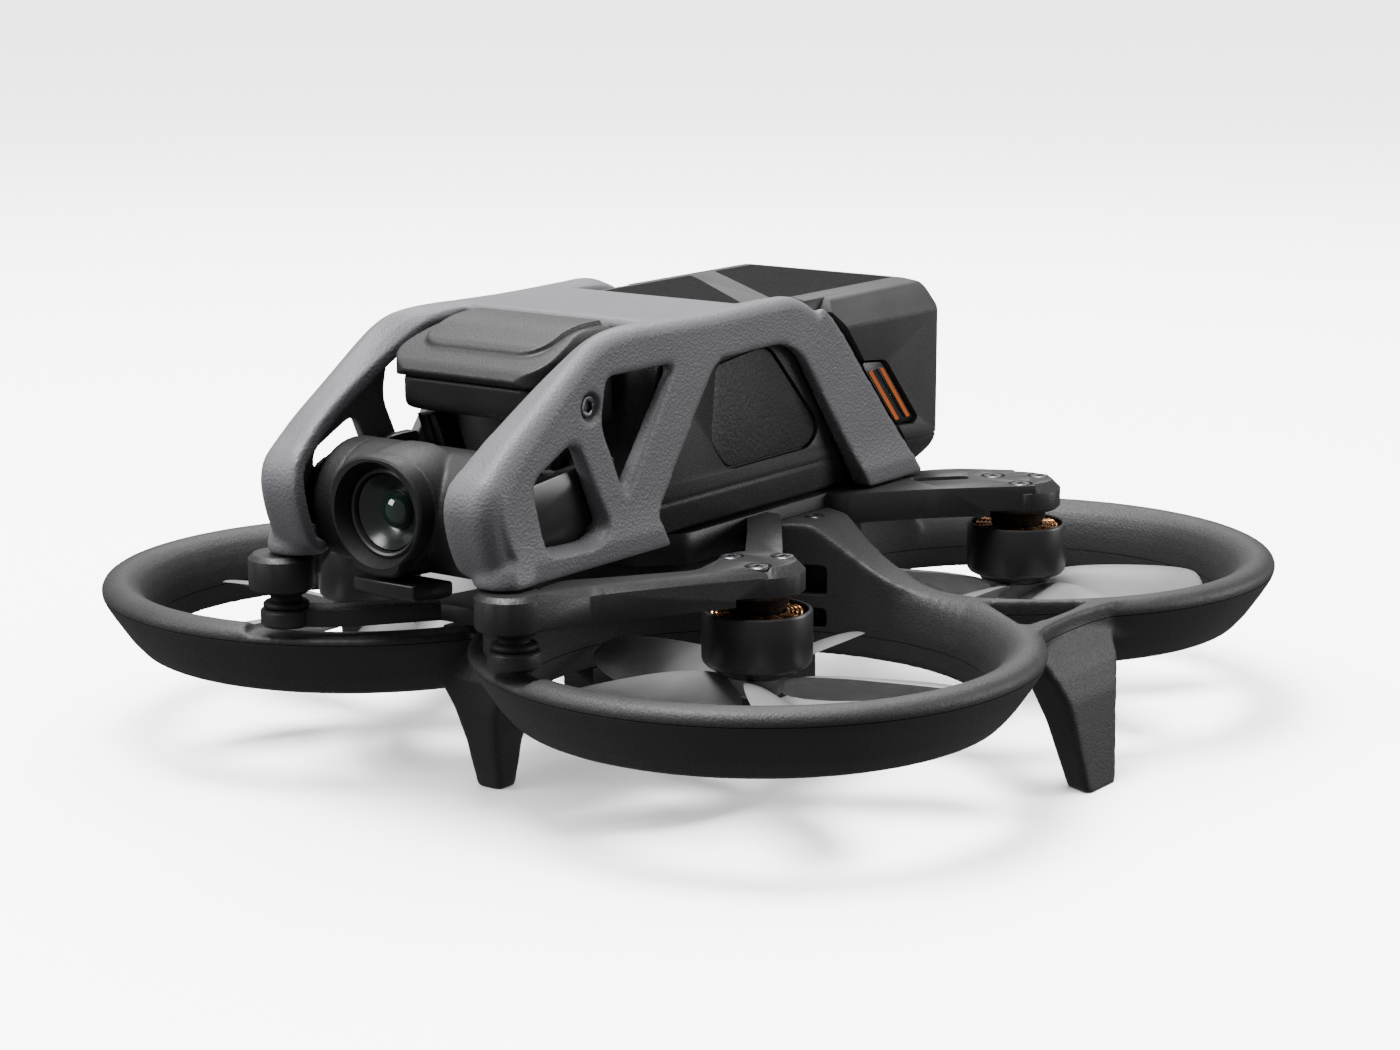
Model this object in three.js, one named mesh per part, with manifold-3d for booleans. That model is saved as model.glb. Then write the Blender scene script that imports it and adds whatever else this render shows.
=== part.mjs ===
// Ducted first-person-view drone: four guard rings, hanging motors, a tilting camera
// and a battery that slides out to the rear. Millimetres, +Z up, nose towards -Y.
import * as THREE from "three";
import loadKernel from "manifold-3d";

const kernel = await loadKernel();
kernel.setup();
const { Manifold, Mesh: Facets } = kernel;

// ---- driving sizes -------------------------------------------------------------
const MOTOR = 42.43; // motor axis offset along x and y: 120 mm diagonal wheelbase
const GAP = 0.3; // clearance left between neighbouring solids
const RING_OUT = 47.56;
const THROAT = 38.8;
const RING_LOW = 17.9;
const SEAM = 28.2; // parting line outside the rings
const LINER_LOW = 22; // lower edge of the rim piece inside the ducts
const LINER_R = 40.6;
const LIP = 30.8;
const WEB_LOW = 24;
const WEB_TOP = 30.7;
const FOOT_LOW = 1.5; // foot tips; every piece is lowered by this much at the end
const BELL_R = 9.2;
const BELL_LOW = 25.6;
const FLANGE_LOW = 24.4;
const FLANGE_R = 6.8;
const BELL_TOP = 35.2;
const PROP_R = 36.7;
const BLADES = 5;
const COILS = 12;
const ARM_LOW = 38;
const ARM_TOP = 43.4;
const HEAD_R = 7.9;
const SCREW_CIRCLE = 5;
const SCREW_R = 1.55;
const TILT_Y = -74;
const TILT_Z = 52;
const BARREL_R = 10.3;
const BARREL_HALF = 19.6;
const DRUM_HALF = 17.2;
const LENS_FRONT = -88;
const BAY_HALF = 20;
const CASE_HALF = 21.9;
const CANOPY_TOP = 81;
const CANOPY_IN = 22.3;
const COVER_HALF = 16.1;
const BATTERY_REAR = 42.6;
const BATTERY_TOP = 79.2;
const FIN_START = 21.4;
const ROUND = 32; // facets round a large circle

const LEFT = 1;
const RIGHT = -1;
const SIDES = [["left", LEFT], ["right", RIGHT]];
const CORNERS = [
  ["front_left", LEFT, -1],
  ["front_right", RIGHT, -1],
  ["rear_left", LEFT, 1],
  ["rear_right", RIGHT, 1],
];

// ---- solids --------------------------------------------------------------------
// Joins equal corners of a geometry so that its surface is closed.
function toSolid(geometry) {
  const position = geometry.attributes.position;
  const count = geometry.index ? geometry.index.count : position.count;
  const lookup = new Map();
  const corners = [];
  const triangles = [];
  for (let i = 0; i < count; i += 3) {
    const face = [];
    for (let k = 0; k < 3; k += 1) {
      const at = geometry.index ? geometry.index.getX(i + k) : i + k;
      const p = [position.getX(at), position.getY(at), position.getZ(at)];
      const key = p.map((value) => Math.round(value * 1e4)).join(",");
      if (!lookup.has(key)) {
        lookup.set(key, corners.length / 3);
        corners.push(...p);
      }
      face.push(lookup.get(key));
    }
    const [a, b, c] = face;
    if (a !== b && b !== c && a !== c) triangles.push(a, b, c);
  }
  if (signedVolume(corners, triangles) < 0) {
    for (let i = 0; i < triangles.length; i += 3) {
      [triangles[i], triangles[i + 1]] = [triangles[i + 1], triangles[i]];
    }
  }
  return new Manifold(new Facets({
    numProp: 3,
    vertProperties: new Float32Array(corners),
    triVerts: new Uint32Array(triangles),
  }));
}

function signedVolume(corners, triangles) {
  const a = new THREE.Vector3();
  const b = new THREE.Vector3();
  const c = new THREE.Vector3();
  let sum = 0;
  for (let i = 0; i < triangles.length; i += 3) {
    a.fromArray(corners, triangles[i] * 3);
    b.fromArray(corners, triangles[i + 1] * 3);
    c.fromArray(corners, triangles[i + 2] * 3);
    sum += a.dot(b.cross(c));
  }
  return sum;
}

function toGeometry(solid) {
  const mesh = solid.getMesh();
  const stride = mesh.numProp;
  const points = [];
  for (let i = 0; i < mesh.vertProperties.length; i += stride) {
    points.push(...mesh.vertProperties.slice(i, i + 3));
  }
  const geometry = new THREE.BufferGeometry();
  geometry.setAttribute("position", new THREE.Float32BufferAttribute(points, 3));
  geometry.setIndex(Array.from(mesh.triVerts));
  geometry.computeVertexNormals();
  return geometry;
}

const join = (...solids) => solids.reduce((sum, next) => sum.add(next));
const cut = (solid, ...tools) => tools.reduce((rest, tool) => rest.subtract(tool), solid);
const overlap = (a, b) => a.intersect(b);

// A profile of [radius, z] turned about the upright axis through (x, y).
function turned(profile, x = 0, y = 0, facets = ROUND) {
  const points = profile.map(([r, z]) => new THREE.Vector2(r, z));
  const geometry = new THREE.LatheGeometry(points, facets);
  geometry.rotateX(Math.PI / 2);
  geometry.translate(x, y, 0);
  return toSolid(geometry);
}

// A round bar from z0 to z1.
function disc(radius, z0, z1, x = 0, y = 0, facets = 20) {
  return turned([[0, z0], [radius, z0], [radius, z1], [0, z1]], x, y, facets);
}

function box(x0, x1, y0, y1, z0, z1) {
  const geometry = new THREE.BoxGeometry(x1 - x0, y1 - y0, z1 - z0);
  geometry.translate((x0 + x1) / 2, (y0 + y1) / 2, (z0 + z1) / 2);
  return toSolid(geometry);
}

// A closed outline with its corners rounded; radii may be one number or a list.
function rounded(points, radius = 0, steps = 3) {
  const out = [];
  const total = points.length;
  points.forEach((p, i) => {
    const r = Array.isArray(radius) ? radius[i] : radius;
    const before = points[(i + total - 1) % total];
    const after = points[(i + 1) % total];
    const toBefore = Math.hypot(before[0] - p[0], before[1] - p[1]);
    const toAfter = Math.hypot(after[0] - p[0], after[1] - p[1]);
    const reach = Math.min(r, toBefore * 0.48, toAfter * 0.48);
    if (reach <= 0) {
      out.push(p);
      return;
    }
    const from = mix(p, before, reach / toBefore);
    const to = mix(p, after, reach / toAfter);
    for (let k = 0; k <= steps; k += 1) {
      const t = k / steps;
      out.push(mix(mix(from, p, t), mix(p, to, t), t));
    }
  });
  return out;
}

const mix = (a, b, t) => a.map((value, i) => value + (b[i] - value) * t);

function extruded(points, depth) {
  const shape = new THREE.Shape(points.map(([x, y]) => new THREE.Vector2(x, y)));
  return new THREE.ExtrudeGeometry(shape, { depth, bevelEnabled: false, steps: 1 });
}

// An outline in x and y between two heights.
function plate(points, z0, z1) {
  const geometry = extruded(points, z1 - z0);
  geometry.translate(0, 0, z0);
  return toSolid(geometry);
}

// An outline in y and z between two x positions.
function across(points, x0, x1) {
  const geometry = extruded(points, x1 - x0);
  const turn = new THREE.Matrix4().makeBasis(
    new THREE.Vector3(0, 1, 0),
    new THREE.Vector3(0, 0, 1),
    new THREE.Vector3(1, 0, 0),
  );
  geometry.applyMatrix4(turn);
  geometry.translate(x0, 0, 0);
  return toSolid(geometry);
}

// An outline in x and z between two y positions.
function along(points, y0, y1) {
  const geometry = extruded(points, y1 - y0);
  const turn = new THREE.Matrix4().makeBasis(
    new THREE.Vector3(1, 0, 0),
    new THREE.Vector3(0, 0, 1),
    new THREE.Vector3(0, -1, 0),
  );
  geometry.applyMatrix4(turn);
  geometry.translate(0, y1, 0);
  return toSolid(geometry);
}

// Skins rings of equal point count, each ring a list of [x, y, z].
function skinned(rings) {
  const width = rings[0].length;
  const positions = rings.flat(2);
  const index = [];
  for (let r = 0; r + 1 < rings.length; r += 1) {
    for (let i = 0; i < width; i += 1) {
      const a = r * width + i;
      const b = r * width + ((i + 1) % width);
      index.push(a, b, b + width, a, b + width, a + width);
    }
  }
  const last = (rings.length - 1) * width;
  for (let i = 1; i + 1 < width; i += 1) {
    index.push(0, i + 1, i);
    index.push(last, last + i, last + i + 1);
  }
  const geometry = new THREE.BufferGeometry();
  geometry.setAttribute("position", new THREE.Float32BufferAttribute(positions, 3));
  geometry.setIndex(index);
  return toSolid(geometry);
}

const flip = (solid) => solid.mirror([1, 0, 0]);
const sided = (solid, side) => (side === LEFT ? solid : flip(solid));
const circle = (x, y, r, facets = 20) => Array.from({ length: facets }, (unused, i) => {
  const angle = (i / facets) * Math.PI * 2;
  return [x + r * Math.cos(angle), y + r * Math.sin(angle)];
});

// ---- materials and scene ---------------------------------------------------------
const drone = new THREE.Group();
drone.name = "ducted_drone";

function material(color, roughness, metalness = 0) {
  return () => new THREE.MeshStandardMaterial({ color, roughness, metalness });
}

const guardPlastic = material(0x2f3032, 0.72);
const frameBlack = material(0x232325, 0.62);
const canopyGrey = material(0x66656c, 0.78);
const coverGrey = material(0x38393b, 0.6);
const batteryGrey = material(0x3c3d40, 0.66);
const satinBlack = material(0x141416, 0.35);
const copper = material(0xb4703a, 0.4, 0.8);
const bladeGrey = material(0x8b8d90, 0.45);
const rubberBlack = material(0x1b1b1c, 0.9);
const lensGlass = material(0x0d1614, 0.06);
const steel = material(0x8d8d90, 0.35, 0.9);
const latchBlack = material(0x202022, 0.55);

function place(name, solid, makeMaterial) {
  const mesh = new THREE.Mesh(toGeometry(solid), makeMaterial());
  mesh.name = name;
  mesh.position.z = -FOOT_LOW;
  drone.add(mesh);
}

// ---- guard rings -----------------------------------------------------------------
const ringOuter = [
  [0, RING_LOW], [39.6, RING_LOW], [40.6, 18.3], [43.1, 21], [45.8, 25],
  [RING_OUT, SEAM], [47.4, 29.5], [46.3, 30.5], [44.7, LIP], [0, LIP],
];
const ductVoid = [
  [0, 4], [THROAT, 4], [THROAT, 22.6], [39.2, 25.6], [40.1, 27.8],
  [41.6, 29.6], [43.6, LIP], [43.8, LIP + 0.4], [0, LIP + 0.4],
];
const shaft = [[0, 4], [THROAT, 4], [THROAT, 50], [0, 50]];

// Concave plate that fills the notch between a front and a rear ring.
const webOutline = [
  [56, -4], [74, -33], [84.6, -31], [81.2, -23], [78.6, -14], [77.3, -5],
  [77.3, 5], [78.6, 14], [81.2, 23], [84.6, 31], [74, 33], [56, 4],
];
const webHole = rounded([[60.8, 0], [74.6, -11], [75.4, 0], [74.6, 11]], 1.2, 2);

// Fin that climbs from the web to the body between the ducts.
const finOutline = [
  [FIN_START, SEAM + 0.1], [FIN_START, 41.2], [28.4, 41.2], [32.6, 38.4], [36.6, 35.8],
  [41, 33.4], [46, 31.3], [50.5, 30.2], [60, 29.6], [60, SEAM + 0.1],
];

// Leg sections from the foot tip upwards: [z, outer reach, outer half, inner reach, inner half].
const sideLeg = [
  [FOOT_LOW, 84.5, 5.3, 78.7, 2.7], [13, 83, 7.6, 75.9, 5.6], [17.5, 82.4, 8.6, 75.2, 8],
  [22, 81.2, 11.2, 75, 10.6], [SEAM - GAP, 77.6, 13.5, 75, 13],
];
const endLeg = [
  [FOOT_LOW, 61, 2.8, 56.4, 2.8], [9.8, 63, 3.5, 55.2, 3.6], [15.8, 64.6, 4.7, 53.6, 5.4],
  [21, 65.2, 8, 50, 9], [SEAM - GAP, 62.4, 10, 48, 10],
];

function legRings(sections) {
  return sections.map(([z, out, half, inner, innerHalf]) => [
    [out, -half, z], [out, half, z], [inner, innerHalf, z], [inner, -innerHalf, z],
  ]);
}

function turnedRing(ring, quarter) {
  const c = Math.round(Math.cos(quarter * Math.PI / 2));
  const s = Math.round(Math.sin(quarter * Math.PI / 2));
  return ring.map(([u, v, z]) => [c * u - s * v, s * u + c * v, z]);
}

function foot(sections, quarter) {
  return skinned(legRings(sections).map((ring) => turnedRing(ring, quarter)));
}

const atMotors = (profile) => CORNERS.map(([, sx, sy]) => turned(profile, sx * MOTOR, sy * MOTOR));
const web = plate(webOutline, WEB_LOW, WEB_TOP);
const fin = along(finOutline, -11, 11);
const core = plate([[-24, -62], [24, -62], [24, 62], [-24, 62]], RING_LOW, LIP);
const feet = join(foot(sideLeg, 0), foot(endLeg, 1), foot(sideLeg, 2), foot(endLeg, 3));
const noseRelief = plate([[-23, -58], [23, -58], [31, -93], [-31, -93]], 29.3, 40);
const damperSeats = SIDES.map(([, s]) => disc(7, 29.3, 40, s * 24.3, -83.2));
const flared = cut(join(...atMotors(ringOuter), web, flip(web), core), ...atMotors(ductVoid));
const guard = cut(
  join(flared, core, fin, flip(fin), feet),
  ...atMotors(shaft),
  noseRelief,
  ...damperSeats,
  plate(webHole, 0, 50),
  flip(plate(webHole, 0, 50)),
);

// The rim piece is everything above the seam and a liner that reaches down inside each duct.
const liner = (r, low) => [[0, low], [r, low], [r, 60], [0, 60]];
const rimZone = join(box(-100, 100, -100, 100, SEAM, 60), ...atMotors(liner(LINER_R, LINER_LOW)));
const lowerLimit = join(
  box(-100, 100, -100, 100, SEAM - GAP, 60),
  ...atMotors(liner(LINER_R + GAP, LINER_LOW - GAP)),
);
const deckSocket = box(-22.2, 22.2, -34.3, 34.3, ARM_LOW - GAP, 50);
// Each side foot and the outer band of its web are their own piece beside the lower rings.
const footZone = (gap) => box(74.95 - gap, 100, -14.2 - gap, 14.2 + gap, 0, 60);
const lowerGuard = cut(guard, lowerLimit);
place("guard_lower", cut(lowerGuard, footZone(GAP), flip(footZone(GAP))), guardPlastic);
SIDES.forEach(([name, s]) => {
  place(`side_foot_${name}`, overlap(lowerGuard, sided(footZone(0), s)), guardPlastic);
});
place("guard_rim", cut(overlap(guard, rimZone), deckSocket), guardPlastic);

// ---- belly -----------------------------------------------------------------------
const bellyOutline = rounded([
  [-4, -36], [4, -36], [16, -23], [19, -12], [19, 12], [16, 23], [4, 36],
  [-4, 36], [-16, 23], [-19, 12], [-19, -12], [-16, -23],
], 1.5, 1);
const bellyWell = CORNERS.map(([, sx, sy]) => disc(THROAT + 0.9, 0, 30, sx * MOTOR, sy * MOTOR, ROUND));
const eyeSpots = [[0, -17], [0, 17]];
const belly = cut(
  plate(bellyOutline, 7, RING_LOW - GAP),
  ...bellyWell,
  ...eyeSpots.map(([x, y]) => disc(4.3, 0, 8.6, x, y)),
);
place("belly_housing", belly, frameBlack);
eyeSpots.forEach(([x, y], i) => {
  place(`vision_lens_${i + 1}`, disc(4, 6.9, 8.3, x, y, 16), lensGlass);
});

// ---- deck with its four arms --------------------------------------------------------
const frontLimb = rounded([
  [27.2, -78.8], [25.9, -73.1], [29.9, -68.3], [39.2, -55], [37.4, -46.3],
  [48.1, -47.6], [41.3, -59.9], [33.9, -73.8], [29.4, -84.4],
], [0, 2, 2, 2, 0, 0, 4, 2, 0], 2);
const innerLimb = [[38.2, -40], [28.4, -25.2], [21, -14.6], [20, -9.6], [24.5, -9.6], [32.4, -20.6], [42, -35]];
const rearLimb = rounded([
  [20, 9.6], [24.5, 10], [34.5, 23.5], [48.8, 37.8], [37.8, 48.8], [27.5, 43.5], [22, 35], [20, 34],
], [0, 3, 5, 0, 0, 4, 2, 0], 2);
const rearSlot = rounded([[26.2, 30.4], [28.6, 28.4], [35.8, 36.4], [33.6, 38.6]], 1.4, 2);
const deckOutline = rounded([
  [-15, -40], [15, -40], [21.8, -33], [21.8, 34], [-21.8, 34], [-21.8, -33],
], 1.5, 1);

function motorHead(sx, sy) {
  return turned(
    [[0, ARM_LOW], [HEAD_R - 0.6, ARM_LOW], [HEAD_R, ARM_LOW + 0.6], [HEAD_R, ARM_TOP - 1],
      [HEAD_R - 1, ARM_TOP], [0, ARM_TOP]],
    sx * MOTOR, sy * MOTOR, 20,
  );
}

const screwSpots = [];
CORNERS.forEach(([name, sx, sy]) => {
  for (let k = 0; k < 3; k += 1) {
    const angle = -Math.PI * 0.3 + (k * Math.PI * 2) / 3;
    screwSpots.push([
      `mount_screw_${name}_${k + 1}`,
      sx * MOTOR + sx * SCREW_CIRCLE * Math.cos(angle),
      sy * MOTOR + SCREW_CIRCLE * Math.sin(angle),
    ]);
  }
});

const leftArms = join(
  plate(frontLimb, ARM_LOW, ARM_TOP),
  disc(5.5, ARM_LOW, ARM_TOP, 24.2, -84.2),
  plate(innerLimb, ARM_LOW, ARM_TOP),
  cut(plate(rearLimb, ARM_LOW, ARM_TOP), plate(rearSlot, 30, 50)),
);
const deck = cut(
  join(
    plate(deckOutline, ARM_LOW, ARM_TOP),
    leftArms,
    flip(leftArms),
    ...CORNERS.map(([, sx, sy]) => motorHead(sx, sy)),
  ),
  ...screwSpots.map(([, x, y]) => disc(SCREW_R + GAP, ARM_TOP - 1.5, 50, x, y, 10)),
);
place("frame_deck", deck, frameBlack);
screwSpots.forEach(([name, x, y]) => {
  place(name, disc(SCREW_R, ARM_TOP - 1.2, ARM_TOP - 0.15, x, y, 10), steel);
});

// ---- damper plate under the nose ---------------------------------------------------
const damperLimb = rounded([
  [0, -50], [6, -50], [8.6, -62], [17.5, -75], [28.6, -82.4], [26, -87.2], [14.6, -79.4],
  [5, -66.5], [0, -66.5],
], [0, 2, 3, 3, 3, 3, 3, 0, 0], 2);
const damperPlate = join(
  plate(damperLimb, LIP + GAP, 34),
  flip(plate(damperLimb, LIP + GAP, 34)),
  ...SIDES.map(([, s]) => disc(4.2, LIP + GAP, 34, s * 24.3, -83.2)),
);
place("damper_plate", damperPlate, frameBlack);
SIDES.forEach(([name, s]) => {
  const bobbin = [[0, 34.2], [3.7, 34.2], [3.7, 35.1], [2.9, 35.5], [2.9, 36.1], [3.7, 36.6],
    [3.7, ARM_LOW - GAP], [0, ARM_LOW - GAP]];
  place(`damper_${name}`, turned(bobbin, s * 24.3, -83.2, 16), rubberBlack);
});

// ---- body block between deck and guard -----------------------------------------------
const bodyBlock = plate(rounded([
  [-9, -40], [9, -40], [17, -30], [21, -20], [21, 20], [17, 29], [9, 34.4], [-9, 34.4],
  [-17, 29], [-21, 20], [-21, -20], [-17, -30],
], 1.5, 1), LIP + GAP, ARM_LOW - GAP);

// ---- motors and propellers -----------------------------------------------------------
const bell = [
  [0, FLANGE_LOW], [FLANGE_R - 0.4, FLANGE_LOW], [FLANGE_R, FLANGE_LOW + 0.5], [FLANGE_R, BELL_LOW],
  [7.9, BELL_LOW], [8.8, 26.1], [BELL_R, 27], [BELL_R, BELL_TOP],
  [8.35, BELL_TOP], [8.35, 27.4], [1.4, 27.4], [1.4, 34], [0, 34],
];

function stator(x, y) {
  const teeth = [];
  for (let k = 0; k < COILS; k += 1) {
    const middle = (k / COILS) * Math.PI * 2;
    [[-0.11, 4.6], [-0.19, 8.1], [0.19, 8.1], [0.11, 4.6]].forEach(([swing, r]) => {
      teeth.push([r * Math.cos(middle + swing), r * Math.sin(middle + swing)]);
    });
  }
  const star = plate(teeth.map(([a, b]) => [x + a, y + b]), 28, 35.6);
  const neck = disc(4.4, 35.2, ARM_LOW - GAP, x, y, 12);
  return cut(join(star, neck), disc(1.9, 20, 34.4, x, y, 8));
}

function blade(turn) {
  const stations = [
    [3, 6, 30, 1.4], [12, 12, 31, 1.4], [23, 14, 24, 1.2],
    [32, 12, 18, 1], [PROP_R, 7.5, 15, 0.8],
  ];
  const rings = stations.map(([r, chord, pitch, thick]) => {
    const tilt = THREE.MathUtils.degToRad(pitch) * turn;
    const lead = [[-0.5, 0], [-0.1, 0.5], [0.5, 0], [-0.1, -0.5]];
    return lead.map(([c, t]) => {
      const s = c * chord;
      const h = t * thick;
      return [r, s * Math.cos(tilt) - h * Math.sin(tilt), s * Math.sin(tilt) + h * Math.cos(tilt)];
    });
  });
  return skinned(rings);
}

// Where each propeller stands at rest, in degrees.
const FIRST_BLADE = { front_left: 29, front_right: 30, rear_left: 46, rear_right: 20 };

function propeller(x, y, turn, first) {
  const hub = turned(
    [[0, 20.2], [3.2, 20.2], [4.4, 21.2], [5.2, FLANGE_LOW - GAP], [0, FLANGE_LOW - GAP]],
    0, 0, 15,
  );
  let whole = hub;
  for (let k = 0; k < BLADES; k += 1) {
    const one = blade(turn).rotate([0, 0, (360 / BLADES) * k + first]).translate([0, 0, 21.9]);
    whole = whole.add(one);
  }
  const underBell = join(
    disc(FLANGE_R + 0.6, FLANGE_LOW - GAP, 40),
    box(-40, 40, -40, 40, BELL_LOW - GAP, 40),
  );
  return cut(whole, underBell).translate([x, y, 0]);
}

CORNERS.forEach(([name, sx, sy]) => {
  const x = sx * MOTOR;
  const y = sy * MOTOR;
  place(`stator_${name}`, stator(x, y), copper);
  place(`motor_bell_${name}`, turned(bell, x, y, 20), satinBlack);
  place(`propeller_${name}`, propeller(x, y, sx * sy, FIRST_BLADE[name]), bladeGrey);
});

// ---- battery bay ----------------------------------------------------------------------
const caseOutline = rounded([
  [-43, ARM_TOP + GAP], [-43, 71.8], [-39, 76.2], [4.4, 76.2], [9, 72.4], [33, ARM_TOP + GAP],
], [1, 3, 2, 2, 1, 1], 2);
const panelOutline = rounded([
  [-25.1, 71.2], [-26.5, 58.2], [-21.6, 52.9], [3.2, 53.1], [5.9, 55.4], [4.9, 58.2], [-9.8, 72.8],
], [2, 2, 2, 1.5, 1.5, 1.5, 3], 2);
const panelPocket = rounded([
  [-25.4, 71.5], [-26.8, 58.1], [-21.7, 52.6], [3.3, 52.8], [6.2, 55.3], [5.2, 58.3], [-9.7, 73.1],
], [2, 2, 2, 1.5, 1.5, 1.5, 3], 2);
const bay = cut(
  across(caseOutline, -CASE_HALF, CASE_HALF),
  box(-BAY_HALF, BAY_HALF, -37, 60, 46, 90),
  across(panelPocket, CASE_HALF - 0.9, 30),
  across(panelPocket, -30, -CASE_HALF + 0.9),
);
place("battery_bay", bay, coverGrey);
SIDES.forEach(([name, s]) => {
  const panel = across(panelOutline, CASE_HALF - 0.6, CASE_HALF + 0.1);
  place(`side_panel_${name}`, sided(panel, s), batteryGrey);
});
place("body_block", bodyBlock, frameBlack);

// ---- canopy frame -----------------------------------------------------------------------
const frontEdge = [
  [-83, ARM_TOP + GAP], [-87.6, 46.8], [-90, 55.4], [-89.5, 59.9], [-81.3, 66.7], [-71, 73.3],
  [-62, 79.1], [-56.5, CANOPY_TOP],
];
const frontRadii = [1, 3, 2, 2, 4, 6, 4, 4];
const canopySide = rounded([
  ...frontEdge, [-3.5, CANOPY_TOP], [8.4, 75.2], [35.6, 44.3], [35, ARM_TOP + GAP],
  [17.6, ARM_TOP + GAP], [-2.7, 70.8], [-8, 73.1], [-28.2, 72.8], [-46.6, 49.2], [-43.4, ARM_TOP + GAP],
], [...frontRadii, 7, 3, 0.5, 0.5, 1, 3, 3, 3, 1.5, 0.8], 2);
const windowFront = rounded([
  [-67.3, 64.5], [-78.1, 59.4], [-75.2, 48.4], [-64.3, 47.9], [-60.3, 50],
], [2.4, 2.4, 2, 2, 1.6], 2);
const windowMiddle = rounded([
  [-58.6, 73.7], [-40.4, 73.6], [-54.7, 54.7], [-60.2, 66.4],
], [2, 2, 1.6, 2], 2);
// strip that follows the front and top edge, where the frame turns inwards
const canopyBand = rounded([
  ...frontEdge, [2.2, CANOPY_TOP], [2.2, 77.9], [-56, 77.9], [-69.4, 69.9],
  [-79.4, 62.9], [-86.1, 58.2], [-86.6, 55.4], [-84.9, 47.4], [-81, ARM_TOP + GAP],
], [1, 3, 2, 2, 4, 6, 4, 0, 0, 0, 4, 4, 3, 1, 1, 2, 0], 2);
const canopyEnvelope = rounded([
  [-25.2, 42], [-24.6, 62], [-24, 73], [-23.6, CANOPY_TOP], [23.6, CANOPY_TOP], [24, 73],
  [24.6, 62], [25.2, 42],
], [0, 0, 0, 3.4, 3.4, 0, 0, 0], 3);
const topBar = box(-19, 19, -42.4, -15.5, 77.9, CANOPY_TOP - 0.2);
const bossSpot = [-63.2, 69.6];

function canopyHalf() {
  const skin = cut(
    across(canopySide, CANOPY_IN, 26),
    across(windowFront, 10, 30),
    across(windowMiddle, 10, 30),
  );
  const strip = join(
    across(canopyBand, 17.6, 26),
    overlap(across(canopyBand, 16.5, 18), box(10, 20, -95, -58, 40, 90)),
  );
  const band = overlap(strip, across(canopySide, 10, 30));
  const footBoss = disc(4.6, ARM_TOP + GAP, 45, 22.4, -82.8);
  const screwWell = across(circle(bossSpot[0], bossSpot[1], 2.2, 14), CANOPY_IN + 0.9, 30);
  return cut(join(skin, band, footBoss), screwWell);
}

const canopyLeft = canopyHalf();
const canopy = overlap(
  join(canopyLeft, flip(canopyLeft), topBar),
  along(canopyEnvelope, -90, 60),
);
place("canopy_frame", canopy, canopyGrey);
SIDES.forEach(([name, s]) => {
  const screw = across(circle(bossSpot[0], bossSpot[1], 1.9, 14), CANOPY_IN + 1.2, 24);
  place(`canopy_screw_${name}`, sided(screw, s), steel);
});

// ---- nose cover -----------------------------------------------------------------------------
const coverOutline = rounded([
  [-43.5, 71.5], [-66.5, 71.5], [-67.6, 72.9], [-61, 77.2], [-54.5, 79.4], [-50, 80], [-43.5, 80],
], [0.5, 1, 1.5, 4, 4, 3, 0.5], 2);
const cover = overlap(
  across(coverOutline, -COVER_HALF, COVER_HALF),
  along(rounded([
    [-COVER_HALF, 70], [-COVER_HALF, 77.3], [-13, 80.2], [13, 80.2], [COVER_HALF, 77.3], [COVER_HALF, 70],
  ], 1.4, 2), -90, 0),
);
place("nose_cover", cover, coverGrey);
const trayOutline = rounded([
  [-46, 64.2], [-58, 64.2], [-65.4, 67.4], [-66.6, 71.2], [-46, 71.2],
], [1, 4, 2, 1, 0.5], 2);
place("cover_tray", across(trayOutline, -15.6, 15.6), satinBlack);

// ---- camera yoke and tilting camera --------------------------------------------------------------
function yoke() {
  const arm = across(rounded([
    [TILT_Y - 6, TILT_Z - 6], [TILT_Y - 6, TILT_Z + 6], [-60, 60], [-54, 60], [-54, 54], [-62, 49],
    [TILT_Y + 6, TILT_Z - 6],
  ], [6, 6, 3, 1, 1, 3, 6], 3), BARREL_HALF + 0.4, CANOPY_IN - 0.3);
  const cross = box(8, CANOPY_IN - 0.3, -60, -54, 54.6, 57.6);
  const post = along([[8.2, 56], [12.2, 56], [15.6, 63.9], [11.6, 63.9]], -59.4, -54.6);
  return join(arm, cross, post);
}

SIDES.forEach(([name, s]) => place(`camera_yoke_${name}`, sided(yoke(), s), satinBlack));

const barrelOutline = [
  [0, -BARREL_HALF], [8.4, -BARREL_HALF], [8.4, -DRUM_HALF], [9.5, -DRUM_HALF], [BARREL_R, 0.9 - DRUM_HALF],
  [BARREL_R, DRUM_HALF - 0.9], [9.5, DRUM_HALF], [8.4, DRUM_HALF], [8.4, BARREL_HALF], [0, BARREL_HALF],
];
const barrel = turned(barrelOutline, 0, 0, 28).rotate([0, 90, 0]).translate([0, TILT_Y, TILT_Z]);
const lensBore = (r, y0, y1) => along(circle(0, TILT_Z + 1, r, 24), y0, y1);
const shroud = along(rounded([
  [-9, 43.6], [-10.4, 53], [-9.4, 63], [9.4, 63], [10.4, 53], [9, 43.6], [0, 42.6],
], [3, 4, 4, 4, 4, 3, 4], 3), -84.6, -74);
const cameraBody = cut(join(barrel, shroud), lensBore(8.5, -90, -80));
place("camera_body", cameraBody, frameBlack);
const lensRing = join(
  cut(lensBore(9.9, LENS_FRONT, -84.9), lensBore(7.1, -90, -84)),
  cut(lensBore(8.2, -85.4, -80.3), lensBore(7.1, -90, -80)),
);
place("lens_ring", lensRing, satinBlack);
place("lens_glass", lensBore(6.8, -85.2, -80.4), lensGlass);
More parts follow.
